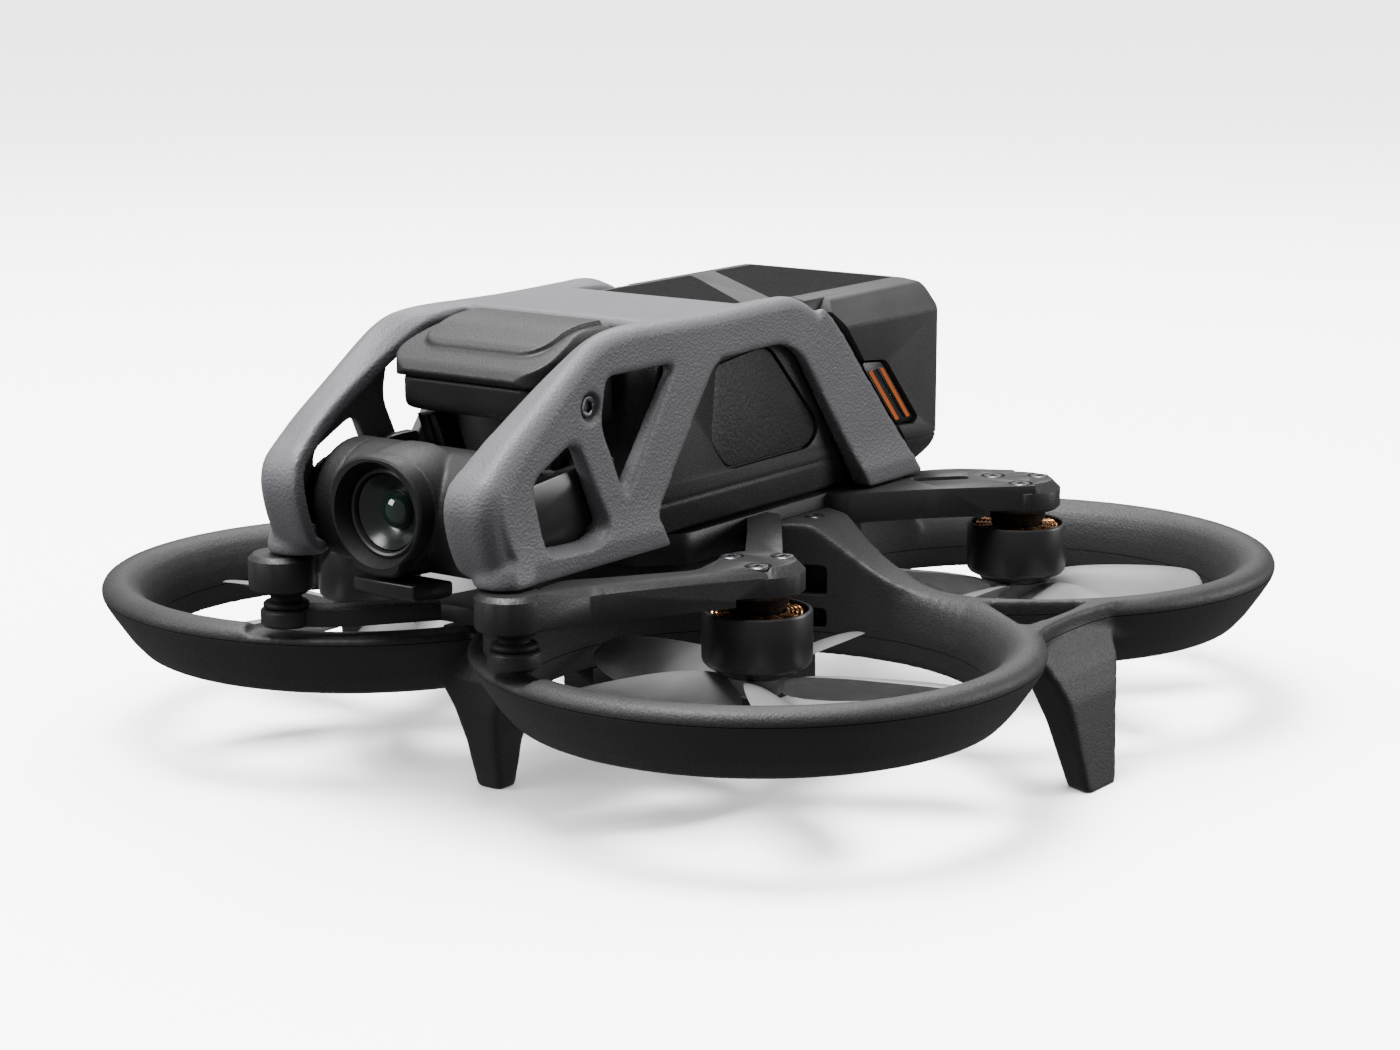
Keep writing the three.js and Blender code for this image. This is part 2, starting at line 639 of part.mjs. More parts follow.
const chin = across(rounded([
  [-86.4, 39.6], [-86.4, 42.2], [-80, 42.2], [-76.6, 41.2], [-76.6, 38.8], [-80, 38.8],
], [1, 0.5, 0.5, 0.5, 1, 1], 2), -6.4, 6.4);
place("camera_chin", chin, satinBlack);

// ---- battery --------------------------------------------------------------------------------------
const batteryCore = across(rounded([
  [-36, 46.4], [-36, 77.2], [-15, 77.2], [-15, BATTERY_TOP], [BATTERY_REAR - 0.6, BATTERY_TOP],
  [BATTERY_REAR, 76], [BATTERY_REAR, 48.6], [39, 45], [38, 45], [36, 46.4],
], [2, 2, 0, 0.5, 1, 1, 3, 0, 0, 0], 2), -19.6, 19.6);
const batteryTail = across(rounded([
  [13.6, BATTERY_TOP], [BATTERY_REAR - 0.6, BATTERY_TOP], [BATTERY_REAR, 76], [BATTERY_REAR, 48.6],
  [39.5, 45], [36.6, 45], [11.8, 74], [10, 76.4],
], [0, 1, 1, 3, 0.5, 0.5, 1, 0], 2), -24.4, 24.4);
const frontSection = along([
  [-19.6, 46.4], [-19.6, 75], [-17.1, 77.5], [-17.1, BATTERY_TOP], [17.1, BATTERY_TOP],
  [17.1, 77.5], [19.6, 75], [19.6, 46.4],
], -36, 14);
const tailSection = along(rounded([
  [-21.6, 44], [-24.4, 48.6], [-24.4, 73.9], [-20.8, 78.5], [-17.1, BATTERY_TOP],
  [17.1, BATTERY_TOP], [20.8, 78.5], [24.4, 73.9], [24.4, 48.6], [21.6, 44],
], [0, 2, 2, 1, 1, 1, 1, 2, 2, 0], 2), 5, 50);
const latchOutline = rounded([
  [17, 66.6], [24.6, 65.9], [35.8, 54.2], [35, 53.1], [29.4, 53.2],
], [2, 1.6, 0.8, 0.8, 1], 2);
const latchPocket = rounded([
  [16.2, 67], [24.8, 66.4], [36.4, 54.2], [35.3, 52.7], [29, 52.8],
], [2, 1.6, 0.8, 0.8, 1], 2);
const LATCH_OUT = 24.1;
const LATCH_IN = 22.7;
const BUTTON_Z = 62;
const BUTTON_R = 5;
let battery = join(
  overlap(batteryCore, join(frontSection, tailSection)),
  overlap(batteryTail, tailSection),
);
battery = cut(
  battery,
  across(latchPocket, 21, 30),
  across(latchPocket, -30, -21),
  along(circle(0, BUTTON_Z, BUTTON_R + GAP, 20), BATTERY_REAR - 1.9, 60),
);
place("battery_pack", battery, batteryGrey);
SIDES.forEach(([name, s]) => {
  place(`battery_latch_${name}`, sided(across(latchOutline, LATCH_IN, LATCH_OUT), s), latchBlack);
});
const buttonSolid = along(circle(0, BUTTON_Z, BUTTON_R, 20), BATTERY_REAR - 0.75, BATTERY_REAR + 0.2);
place("power_button", buttonSolid, latchBlack);

export default drone;
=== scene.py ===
"""Looks for the ducted drone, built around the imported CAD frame. Sizes in millimetres, as in the
part's own drawing, where the foot tips stand at height LOW; shown() turns them into metres."""

import math

import bmesh
import bpy
from mathutils import Matrix, Vector


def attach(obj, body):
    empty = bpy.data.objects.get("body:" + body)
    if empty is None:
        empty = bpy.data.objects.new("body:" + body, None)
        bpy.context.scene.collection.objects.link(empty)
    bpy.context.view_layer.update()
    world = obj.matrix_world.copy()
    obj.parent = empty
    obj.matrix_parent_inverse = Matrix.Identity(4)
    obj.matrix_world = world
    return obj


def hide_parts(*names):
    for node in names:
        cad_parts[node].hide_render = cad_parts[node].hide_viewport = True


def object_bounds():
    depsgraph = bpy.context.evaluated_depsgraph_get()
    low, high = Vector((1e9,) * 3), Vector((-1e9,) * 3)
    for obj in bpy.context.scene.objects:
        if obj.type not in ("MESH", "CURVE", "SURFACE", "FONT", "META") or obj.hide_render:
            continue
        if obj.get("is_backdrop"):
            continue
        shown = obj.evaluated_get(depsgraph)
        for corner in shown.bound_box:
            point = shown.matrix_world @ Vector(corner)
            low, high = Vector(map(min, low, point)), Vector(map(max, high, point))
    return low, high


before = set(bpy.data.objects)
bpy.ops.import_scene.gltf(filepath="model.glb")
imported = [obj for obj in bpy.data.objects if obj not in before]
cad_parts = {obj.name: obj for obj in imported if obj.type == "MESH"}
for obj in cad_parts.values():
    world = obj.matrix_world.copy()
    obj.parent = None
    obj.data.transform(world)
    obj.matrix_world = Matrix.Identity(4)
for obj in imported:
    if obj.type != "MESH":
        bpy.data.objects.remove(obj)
cad_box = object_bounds()

MM = 0.001
LOW = 1.5
MOTOR = 42.43
GAP = 0.3
SEAM = 28.2
LIP = 30.8
LINER_LOW = 22
LINER_R = 40.6
THROAT = 38.8
RING_OUT = 47.56
ARM_LOW = 38
ARM_TOP = 43.4
TILT_Y = -74
TILT_Z = 52
COVER_HALF = 16.1
CANOPY_IN = 22.3
CASE_HALF = 21.9
BATTERY_TOP = 79.2
BATTERY_REAR = 42.6
LEFT = 1
RIGHT = -1
SIDES = (("left", LEFT), ("right", RIGHT))
CORNERS = (
    ("front_left", LEFT, -1),
    ("front_right", RIGHT, -1),
    ("rear_left", LEFT, 1),
    ("rear_right", RIGHT, 1),
)


# ---- shapes ----
def shown(point):
    """A point of the drawing, in metres above the floor."""
    x, y, z = point
    return (x * MM, y * MM, (z - LOW) * MM)


def added(name, data):
    """A new object in the scene."""
    obj = bpy.data.objects.new(name, data)
    bpy.context.scene.collection.objects.link(obj)
    return obj


def solid(name, points, faces):
    """An object from points in millimetres, with its faces turned outwards."""
    mesh = bpy.data.meshes.new(name)
    mesh.from_pydata([shown(p) for p in points], [], faces)
    bm = bmesh.new()
    bm.from_mesh(mesh)
    bmesh.ops.remove_doubles(bm, verts=bm.verts, dist=1e-6)
    bmesh.ops.recalc_face_normals(bm, faces=bm.faces)
    bm.to_mesh(mesh)
    bm.free()
    return added(name, mesh)


MOST_OF_EDGE = 0.48  # the share of an edge that one rounded corner may use
CURVE_STEPS = 6


def mix(a, b, t):
    """The point at share t of the way from a to b."""
    return tuple(p + (q - p) * t for p, q in zip(a, b))


def rounded(points, radius, steps=6):
    """An outline with its corners rounded; radius is one number or one for each corner."""
    out = []
    total = len(points)
    for i, p in enumerate(points):
        before, after = points[i - 1], points[(i + 1) % total]
        to_before, to_after = math.dist(before, p), math.dist(after, p)
        r = radius[i] if isinstance(radius, (list, tuple)) else radius
        reach = min(r, to_before * MOST_OF_EDGE, to_after * MOST_OF_EDGE)
        if reach <= 0:
            out.append(p)
            continue
        start, end = mix(p, before, reach / to_before), mix(p, after, reach / to_after)
        for k in range(steps + 1):
            t = k / steps
            out.append(mix(mix(start, p, t), mix(p, end, t), t))
    return out


def two_sided(half, radii, sx=-1, sy=1):
    """A rounded outline from one half of it and the same half mirrored."""
    other = [(sx * x, sy * y) for x, y in reversed(half)]
    return rounded(half + other, radii + radii[::-1])


def smoothed(points):
    """More points on a smooth curve through these ones, which may carry extra numbers."""
    out = []
    last = len(points) - 1
    for i in range(last):
        p0, p1 = points[max(i - 1, 0)], points[i]
        p2, p3 = points[i + 1], points[min(i + 2, last)]
        for k in range(CURVE_STEPS):
            t = k / CURVE_STEPS
            out.append(tuple(
                0.5 * (
                    2 * b
                    + (c - a) * t
                    + (2 * a - 5 * b + 4 * c - d) * t * t
                    + (3 * b - a - 3 * c + d) * t ** 3
                )
                for a, b, c, d in zip(p0, p1, p2, p3)
            ))
    return out + [tuple(points[last])]


def skinned(name, rings, closed=False):
    """A solid through rings of equal point count, capped at both ends unless it closes."""
    width = len(rings[0])
    points = [p for ring in rings for p in ring]
    faces = []
    spans = len(rings) if closed else len(rings) - 1
    for r in range(spans):
        low, high = r * width, ((r + 1) % len(rings)) * width
        for i in range(width):
            j = (i + 1) % width
            faces.append((low + i, low + j, high + j, high + i))
    if not closed:
        faces.append(tuple(range(width)))
        faces.append(tuple(range(len(points) - width, len(points))))
    return solid(name, points, faces)


def turns(steps):
    """The cosine and sine of even steps round a circle."""
    angles = [2 * math.pi * k / steps for k in range(steps)]
    return [(math.cos(a), math.sin(a)) for a in angles]


def turned(name, profile, x=0, y=0, steps=96):
    """A profile of (radius, z) turned about the upright axis through (x, y)."""
    rings = [[(x + r * c, y + r * s, z) for r, z in profile] for c, s in turns(steps)]
    return lathed(name, rings, profile)


def lathed(name, rings, profile):
    """A turned solid, either a ring or a solid whose profile starts and ends on the axis."""
    if profile[0][0] > 0:
        return skinned(name, rings, closed=True)
    width = len(rings[0])
    points = [p for ring in rings for p in ring]
    faces = []
    for r in range(len(rings)):
        low, high = r * width, ((r + 1) % len(rings)) * width
        for i in range(width - 1):
            faces.append((low + i, low + i + 1, high + i + 1, high + i))
    return solid(name, points, faces)


def plate(name, outline, z0, z1):
    """An outline of (x, y) given height."""
    return skinned(name, [[(x, y, z) for x, y in outline] for z in (z0, z1)])


def across(name, outline, x0, x1):
    """An outline of (y, z) stretched along x."""
    return skinned(name, [[(x, y, z) for y, z in outline] for x in (x0, x1)])


def along(name, outline, y0, y1):
    """An outline of (x, z) stretched along y."""
    return skinned(name, [[(x, y, z) for x, z in outline] for y in (y0, y1)])


def circle(u, v, r, steps=48):
    return [(u + r * c, v + r * s) for c, s in turns(steps)]


def oblong(u0, u1, v0, v1):
    return [(u0, v0), (u1, v0), (u1, v1), (u0, v1)]


def span(side, near, far):
    """The range from near to far on one side of the middle, lowest first."""
    return sorted((side * near, side * far))


def block(name, x0, x1, y0, y1, z0, z1):
    return plate(name, oblong(x0, x1, y0, y1), z0, z1)


def disc(name, r, z0, z1, x, y):
    return plate(name, circle(x, y, r), z0, z1)


def applied(obj):
    """Makes the result of an object's modifiers its mesh."""
    bpy.context.view_layer.update()
    graph = bpy.context.evaluated_depsgraph_get()
    mesh = bpy.data.meshes.new_from_object(obj.evaluated_get(graph))
    obj.modifiers.clear()
    obj.data = mesh
    return obj


def combine(base, tools, operation):
    """Adds, subtracts or intersects the tools, which are used up."""
    for tool in tools:
        change = base.modifiers.new(operation, "BOOLEAN")
        change.operation = operation
        change.object = tool
        change.solver = "MANIFOLD"
    applied(base)
    for tool in tools:
        bpy.data.objects.remove(tool)
    return base


def cut(base, *tools):
    return combine(base, tools, "DIFFERENCE")


def join(base, *tools):
    return combine(base, tools, "UNION")


def overlap(base, *tools):
    return combine(base, tools, "INTERSECT")


def merged(name, *objects):
    """Objects that only lie together, made into one."""
    bm = bmesh.new()
    for obj in objects:
        bm.from_mesh(obj.data)
        bpy.data.objects.remove(obj)
    mesh = bpy.data.meshes.new(name)
    bm.to_mesh(mesh)
    bm.free()
    return added(name, mesh)


def copied(obj, name, matrix=None):
    """A copy, moved or mirrored by a matrix."""
    out = added(name, obj.data.copy())
    if matrix is not None:
        out.data.transform(matrix)
        if matrix.determinant() < 0:
            out.data.flip_normals()
    return out


def mirrored(obj, name):
    return copied(obj, name, Matrix.Scale(-1, 4, (1, 0, 0)))


def pair(make, name):
    """The same solid on both sides, as one object."""
    one = make()
    return merged(name, one, mirrored(one, name + "_mirror"))


def clean(obj):
    """Joins the flat facets that a boolean leaves."""
    bm = bmesh.new()
    bm.from_mesh(obj.data)
    bmesh.ops.remove_doubles(bm, verts=bm.verts, dist=2e-6)
    bmesh.ops.dissolve_degenerate(bm, edges=bm.edges, dist=1e-6)
    bmesh.ops.dissolve_limit(
        bm, angle_limit=math.radians(1), verts=bm.verts, edges=bm.edges, delimit={"NORMAL"}
    )
    bm.to_mesh(obj.data)
    bm.free()
    return obj


def shaded(obj, angle):
    """Smooth shading with sharp edges where faces meet at more than an angle in degrees."""
    obj.data.shade_smooth()
    obj.data.set_sharp_from_angle(angle=math.radians(angle))
    return obj


def edged(obj, width, angle=32):
    """Rounds the hard edges of a moulded or machined piece."""
    clean(obj)
    bevel = obj.modifiers.new("edge", "BEVEL")
    bevel.width = width * MM
    bevel.segments = 3
    bevel.limit_method = "ANGLE"
    bevel.angle_limit = math.radians(angle)
    bevel.use_clamp_overlap = True
    bevel.harden_normals = True
    bevel.miter_outer = "MITER_ARC"
    applied(obj)
    return shaded(obj, 40)


def moulded(obj, voxel, rounds):
    """Melts a piece's edges and joints into soft moulded ones."""
    remesh = obj.modifiers.new("remesh", "REMESH")
    remesh.mode = "VOXEL"
    remesh.voxel_size = voxel * MM
    soft = obj.modifiers.new("soft", "SMOOTH")
    soft.factor = 0.5
    soft.iterations = rounds
    applied(obj)
    obj.data.shade_smooth()
    return obj


def socket_screw(name, r, depth=1.0):
    """A screw head at the origin with its top facing up and a hexagonal socket in it."""
    profile = [(0, -depth), (r, -depth), (r, -0.25), (r * 0.86, 0), (0, 0)]
    head = turned(name, [(a, b + LOW) for a, b in profile], steps=32)
    hexagon = circle(0, 0, r * 0.52, 6)
    cut(head, plate("hex", hexagon, LOW - depth * 0.7, LOW + 1))
    return edged(head, 0.06)


# ---- materials ----
class Nodes:
    """A short way to write a node tree."""

    def __init__(self, name):
        self.material = bpy.data.materials.new(name)
        self.material.use_nodes = True
        self.tree = self.material.node_tree
        self.shader = self.tree.nodes["Principled BSDF"]
        self.place = self.add("ShaderNodeTexCoord").outputs["Object"]

    def add(self, kind, inputs=(), **settings):
        node = self.tree.nodes.new(kind)
        for key, value in settings.items():
            setattr(node, key, value)
        for key, value in dict(inputs).items():
            node.inputs[key].default_value = value
        return node

    def link(self, source, target):
        self.tree.links.new(source, target)

    def set(self, **values):
        for key, value in values.items():
            self.shader.inputs[key.replace("_", " ")].default_value = value

    def noise(self, scale, detail, rough=0.5):
        inputs = {"Scale": scale, "Detail": detail, "Roughness": rough}
        node = self.add("ShaderNodeTexNoise", inputs)
        self.link(self.place, node.inputs["Vector"])
        return node.outputs["Fac"]

    def cells(self, scale):
        node = self.add("ShaderNodeTexVoronoi", {"Scale": scale}, feature="SMOOTH_F1")
        self.link(self.place, node.inputs["Vector"])
        return node.outputs["Distance"]

    def ramp(self, source, low, high, start=0.3, end=0.7):
        inputs = {"From Min": start, "From Max": end, "To Min": low, "To Max": high}
        node = self.add("ShaderNodeMapRange", inputs)
        self.link(source, node.inputs["Value"])
        return node.outputs["Result"]

    def tint(self, source, dark, light):
        node = self.add("ShaderNodeMix", {6: (*dark, 1), 7: (*light, 1)}, data_type="RGBA")
        self.link(source, node.inputs[0])
        return node.outputs[2]

    def bump(self, source, depth, under=None):
        node = self.add("ShaderNodeBump", {"Distance": depth * MM, "Strength": 1.0})
        self.link(source, node.inputs["Height"])
        if under is not None:
            self.link(under, node.inputs["Normal"])
        return node.outputs["Normal"]


# texture scales, in features for each metre
MOTTLE = 90
GRAIN = 2600
LEATHER = 2300
BRUSHED = 900


def plastic(
    name, color, rough, depth, specular, grain=GRAIN, leather=0.0, spread=0.12, uneven=0.08,
):
    """Moulded plastic: fine grain, a little mottling and uneven gloss; depths in millimetres."""
    n = Nodes(name)
    dark = tuple(c * (1 - spread) for c in color)
    light = tuple(min(1, c * (1 + spread)) for c in color)
    mottle = n.ramp(n.noise(MOTTLE, 4, 0.6), 0, 1, 0.35, 0.65)
    n.link(n.tint(mottle, dark, light), n.shader.inputs["Base Color"])
    n.link(n.ramp(n.noise(grain, 2), rough - uneven, rough + uneven), n.shader.inputs["Roughness"])
    normal = n.bump(n.noise(grain, 3, 0.6), depth)
    if leather:
        normal = n.bump(n.cells(LEATHER), leather, under=normal)
    n.link(normal, n.shader.inputs["Normal"])
    n.set(Specular_IOR_Level=specular)
    return n.material


def metal(name, color, rough):
    """Metal with a fine brushed finish."""
    n = Nodes(name)
    tone = n.tint(n.noise(BRUSHED, 3), tuple(c * 0.85 for c in color), color)
    n.link(tone, n.shader.inputs["Base Color"])
    n.link(n.ramp(n.noise(BRUSHED, 2), rough - 0.06, rough + 0.06), n.shader.inputs["Roughness"])
    n.link(n.bump(n.noise(BRUSHED, 2), 0.004), n.shader.inputs["Normal"])
    n.set(Metallic=1.0)
    return n.material


# name, colour, roughness, depth of the grain, specular level
GUARD = plastic("guard_plastic", (0.024, 0.024, 0.0245), 0.52, 0.12, 0.5)
FRAME = plastic("frame_black", (0.018, 0.018, 0.0185), 0.46, 0.05, 0.5)
CANOPY = plastic("canopy_grey", (0.140, 0.137, 0.150), 0.50, 0.02, 0.4, leather=0.075, spread=0.05)
COVER = plastic("cover_grey", (0.025, 0.025, 0.026), 0.48, 0.07, 0.36)
CASE = plastic("case_grey", (0.019, 0.019, 0.02), 0.52, 0.06, 0.45)
BATTERY = plastic("battery_grey", (0.046, 0.046, 0.047), 0.56, 0.05, 0.3)
BATTERY_DARK = plastic("battery_dark", (0.007, 0.007, 0.0075), 0.75, 0.03, 0.06)
PANEL = plastic("panel_textured", (0.018, 0.018, 0.0185), 0.58, 0.16, 0.4, grain=1500)
CAMERA = plastic("camera_black", (0.015, 0.015, 0.0155), 0.5, 0.06, 0.33)
HOOD_BLACK = plastic("hood_black", (0.010, 0.010, 0.0105), 0.5, 0.04, 0.3)
SATIN = plastic("satin_black", (0.019, 0.019, 0.0195), 0.33, 0.004, 0.5, spread=0.01, uneven=0.005)
INNER = plastic("inner_black", (0.004, 0.004, 0.0045), 0.55, 0.02, 0.3)
RUBBER = plastic("rubber_black", (0.010, 0.010, 0.011), 0.62, 0.02, 0.3)
LATCH = plastic("latch_black", (0.005, 0.005, 0.006), 0.42, 0.015, 0.35)
STRIPE = plastic("stripe_orange", (0.72, 0.15, 0.02), 0.5, 0.01, 0.2, spread=0.08)
STEEL = metal("steel", (0.16, 0.16, 0.17), 0.38)
DARK_STEEL = metal("dark_steel", (0.10, 0.10, 0.11), 0.35)
COPPER = metal("copper_winding", (0.95, 0.46, 0.18), 0.26)


def blade_plastic():
    """Thin plastic that lets a little light through."""
    n = Nodes("blade_grey")
    tone = n.tint(n.ramp(n.noise(120, 3), 0, 1), (0.26, 0.262, 0.266), (0.32, 0.322, 0.326))
    n.link(tone, n.shader.inputs["Base Color"])
    n.link(n.ramp(n.noise(700, 2), 0.30, 0.42), n.shader.inputs["Roughness"])
    n.link(n.bump(n.noise(900, 2), 0.01), n.shader.inputs["Normal"])
    n.set(Transmission_Weight=0.25, IOR=1.45)
    return n.material


def glass_material(name, color, rough, coat):
    """Dark coated glass."""
    n = Nodes(name)
    tone = n.tint(n.noise(60, 1), tuple(c * 0.8 for c in color), color)
    n.link(tone, n.shader.inputs["Base Color"])
    n.link(n.ramp(n.noise(300, 1), rough, rough + 0.02), n.shader.inputs["Roughness"])
    n.set(Coat_Weight=coat, Coat_Roughness=0.02, Specular_IOR_Level=0.8)
    return n.material


BLADE = blade_plastic()
LENS = glass_material("lens_dark", (0.012, 0.017, 0.016), 0.27, coat=0.1)
LENS_DEEP = glass_material("lens_deep", (0.010, 0.030, 0.022), 0.05, coat=0.6)


def finished(obj, body, material, slot, *nodes):
    """Gives a piece its material and its body, and hides the CAD nodes that it stands for; slot is
    not used.
    """
    obj.data.materials.clear()
    obj.data.materials.append(material)
    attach(obj, body)
    if nodes:
        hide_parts(*nodes)
    return obj


# ---- guard rings ----
RING_PROFILE = [
    (0, 17.9), (39.7, 17.9), (40.8, 18.4), (43.1, 21), (45.8, 25), (47.2, 27.3), (RING_OUT, SEAM),
    (47.5, 29.3), (46.7, 30.3), (45.2, LIP), (0, LIP),
]
DUCT_PROFILE = [(0, 4), (THROAT, 4), (THROAT, 22.6), (39.1, 25), (39.8, 27.2), (40.9, 29),
                (42.4, 30.2), (43.8, 30.75), (44, 31.4), (0, 31.4)]
RING_STEPS = 144
WEB = two_sided(
    [(56, -4), (74, -34), (85.2, -33), (81.6, -23), (78.8, -13), (77.6, -4)],
    [0, 0, 0, 6, 6, 4], sx=1, sy=-1,
)
WEB_LOW = 24
WEB_TOP = 30.7
WEB_HOLE = rounded([(60.8, 0), (74.6, -11), (75.4, 0), (74.6, 11)], [0.8, 1.6, 4, 1.6])
FIN_START = 21.4
FIN = rounded(
    [
        (FIN_START, 20), (FIN_START, 41.2), (28.4, 41.4), (32.8, 38.4), (36.8, 35.8), (41, 33.4),
        (46, 31.6), (50.5, 30.8), (60, 30.4), (60, 20),
    ],
    [0, 0, 2, 3, 3, 3, 3, 3, 0, 0],
)
SIDE_LEG = (
    (LOW, 84.5, 5.3, 78.7, 2.7), (7, 83.8, 6.4, 77.2, 3.9), (13, 83, 7.6, 75.9, 5.6),
    (17.5, 82.4, 8.8, 75.0, 8.0), (22, 81.0, 11.2, 74.4, 10.6), (SEAM, 77.6, 13.5, 73.5, 13.2),
)
END_LEG = ((LOW, 61, 2.8, 56.4, 2.8), (9.8, 63, 3.5, 55.2, 3.6), (15.8, 64.6, 4.7, 53.6, 5.4),
           (21, 65, 8, 50, 9), (SEAM, 62.4, 10, 48, 10))
DAMPER = (24.3, -83.2)
SEAM_LINE = 0.14
CORE = (-24, 24, -62, 62)
BELOW, ABOVE, HIGH = 4, 50, 60  # heights well clear of the guard
RELIEF_LOW = 29.3
RELIEF_TOP = 40
FLARE_STEPS = 8
FLARE_START = 44
FLARE_STEP = 2
SLOT_HEIGHTS = ((28.4, 34), (22.6, 26.3))
FIN_SCREW = (25.4, 41.5)


def at_motors(profile, steps=RING_STEPS):
    """One turned solid round each motor's axis."""
    return [turned("turned", profile, sx * MOTOR, sy * MOTOR, steps) for _, sx, sy in CORNERS]


def drum(radius, z0, z1):
    return [(0, z0), (radius, z0), (radius, z1), (0, z1)]


def leg(sections, quarter):
    """A foot through sections of (height, outer place, half width, inner place, half width)."""
    c, s = round(math.cos(quarter * math.pi / 2)), round(math.sin(quarter * math.pi / 2))
    rings = []
    for z, out, half, inner, inner_half in sections:
        corners = [(out, -half), (out, half), (inner, inner_half), (inner, -inner_half)]
        ring = rounded(corners, 1.1, 4)
        rings.append([(c * u - s * v, s * u + c * v, z) for u, v in ring])
    return skinned("leg", rings)


def fin_slots():
    """Two cable slots in the wall of each fin, beside the motor mount."""
    slots = []
    for _, sx, sy in CORNERS:
        for z0, z1 in SLOT_HEIGHTS:
            outline = rounded(oblong(24.4, 31.6, z0, z1), 1.2)
            slots.append(along("slot", [(sx * x, z) for x, z in outline], *span(sy, 1.6, 12)))
    return slots


def flares():
    """Opens the ducts beside the fins little by little, up to their full flare."""
    wide = [(r, z) for r, z in DUCT_PROFILE if r >= THROAT and z > 20] + [(44, ABOVE)]
    for k in range(FLARE_STEPS):
        share = (k + 1) / FLARE_STEPS
        opened = [(THROAT + (r - THROAT) * share, z) for r, z in wide]
        profile = [(0, BELOW), (THROAT, BELOW)] + opened + [(0, ABOVE)]
        for _, sx, sy in CORNERS:
            x_range = span(sx, FLARE_START + FLARE_STEP * k, 62)
            side = block("side", *x_range, *span(sy, 0, 12), WEB_LOW, ABOVE)
            yield overlap(turned("flare", profile, sx * MOTOR, sy * MOTOR), side)


def guard_body():
    """The whole guard in one piece, before it is split along its seam."""
    body = block("core", *CORE, 17.9, LIP - 0.1)
    webs = pair(lambda: plate("web", WEB, WEB_LOW, WEB_TOP), "webs")
    join(body, *at_motors(RING_PROFILE), webs)
    cut(body, *at_motors(DUCT_PROFILE))
    fins = pair(lambda: along("fin", FIN, -11, 11), "fins")
    core = block("core_2", *CORE, 18, LIP - 0.12)
    legs = [leg(SIDE_LEG, 0), leg(END_LEG, 1), leg(SIDE_LEG, 2), leg(END_LEG, 3)]
    join(body, core, fins, *legs)
    holes = pair(lambda: plate("hole", WEB_HOLE, 0, ABOVE), "holes")
    relief = plate("relief", [(-23, -58), (23, -58), (31, -93), (-31, -93)], RELIEF_LOW, RELIEF_TOP)
    seats = [disc("seat", 7, RELIEF_LOW, RELIEF_TOP, s * DAMPER[0], DAMPER[1]) for _, s in SIDES]
    cut(body, *at_motors(drum(THROAT, BELOW, ABOVE)), holes, relief, *seats, *flares())
    cut(body, block("socket", -22.0, 22.0, -34.3, 34.3, ARM_LOW - GAP, ABOVE))
    return moulded(body, 0.5, 10)


def build_guard():
    whole = guard_body()
    cut(whole, *fin_slots())
    upper = copied(whole, "guard_rim_shell")
    everywhere = (-100, 100, -100, 100)
    above = block("above", *everywhere, SEAM, HIGH)
    join(above, *at_motors(drum(LINER_R, LINER_LOW, HIGH)))
    overlap(upper, above)
    below = block("below", *everywhere, SEAM - SEAM_LINE, HIGH)
    join(below, *at_motors(drum(LINER_R + SEAM_LINE, LINER_LOW - SEAM_LINE, HIGH)))
    cut(whole, below)
    whole.name = "guard_lower_shell"
    lower_nodes = ("guard_lower", "side_foot_left", "side_foot_right")
    for piece, nodes in ((whole, lower_nodes), (upper, ("guard_rim",))):
        finished(shaded(piece, 50), "airframe", GUARD, "guard_plastic", *nodes)
    for name, s in SIDES:
        screw = socket_screw(f"fin_screw_{name}", 1.9)
        screw.data.transform(Matrix.Translation(shown((s * FIN_SCREW[0], 0, FIN_SCREW[1]))))
        finished(screw, "airframe", DARK_STEEL, "steel")


# ---- belly and body ----
BELLY = rounded(
    [(-4, -36), (4, -36), (16, -23), (19, -12), (19, 12), (16, 23), (4, 36), (-4, 36), (-16, 23),
     (-19, 12), (-19, -12), (-16, -23)], 1.5,
)
BODY = rounded(
    [
        (-9, -40), (9, -40), (17, -30), (21, -20), (21, 20), (17, 29), (9, 34.4), (-9, 34.4),
        (-17, 29), (-21, 20), (-21, -20), (-17, -30),
    ],
    2,
)
EYES = (-17, 17)
EYE = [(0, 6.95), (1.6, 7.0), (2.9, 7.4), (3.3, 7.9), (3.6, 7.3), (4.0, 7.3), (4.0, 8.3), (0, 8.3)]


def grille(x_range, y_range, z_range, count):
    """A row of slots side by side along y."""
    slot_share = 0.55
    start = y_range[0]
    step = (y_range[1] - start) / count
    rows = [(start + k * step, start + (k + slot_share) * step) for k in range(count)]
    return [block("slit", *x_range, *row, *z_range) for row in rows]


def build_belly():
    belly = plate("belly_pan", BELLY, 7, 17.6)
    wells = at_motors(drum(THROAT + 0.9, 0, 30))
    eyes = [disc("eye", 4.3, 0, 8.6, 0, y) for y in EYES]
    cut(belly, *wells, *eyes, *grille((-6, 6), (-8, 8), (5, 8.2), 7))
    edged(belly, 0.7)
    finished(belly, "airframe", FRAME, "frame_black", "belly_housing")
    for i, y in enumerate(EYES):
        eye = shaded(turned(f"vision_eye_{i + 1}", EYE, 0, y, 40), 40)
        finished(eye, "airframe", LENS, "lens_dark", f"vision_lens_{i + 1}")
    body = plate("body_shell", BODY, LIP + 0.1, ARM_LOW - 0.1)
    slits = [grille(span(s, 20, 23), (-16, 16), (32.4, 36.4), 8) for _, s in SIDES]
    cut(body, *slits[0], *slits[1])
    edged(body, 0.5)
    finished(body, "airframe", FRAME, "frame_black", "body_block")


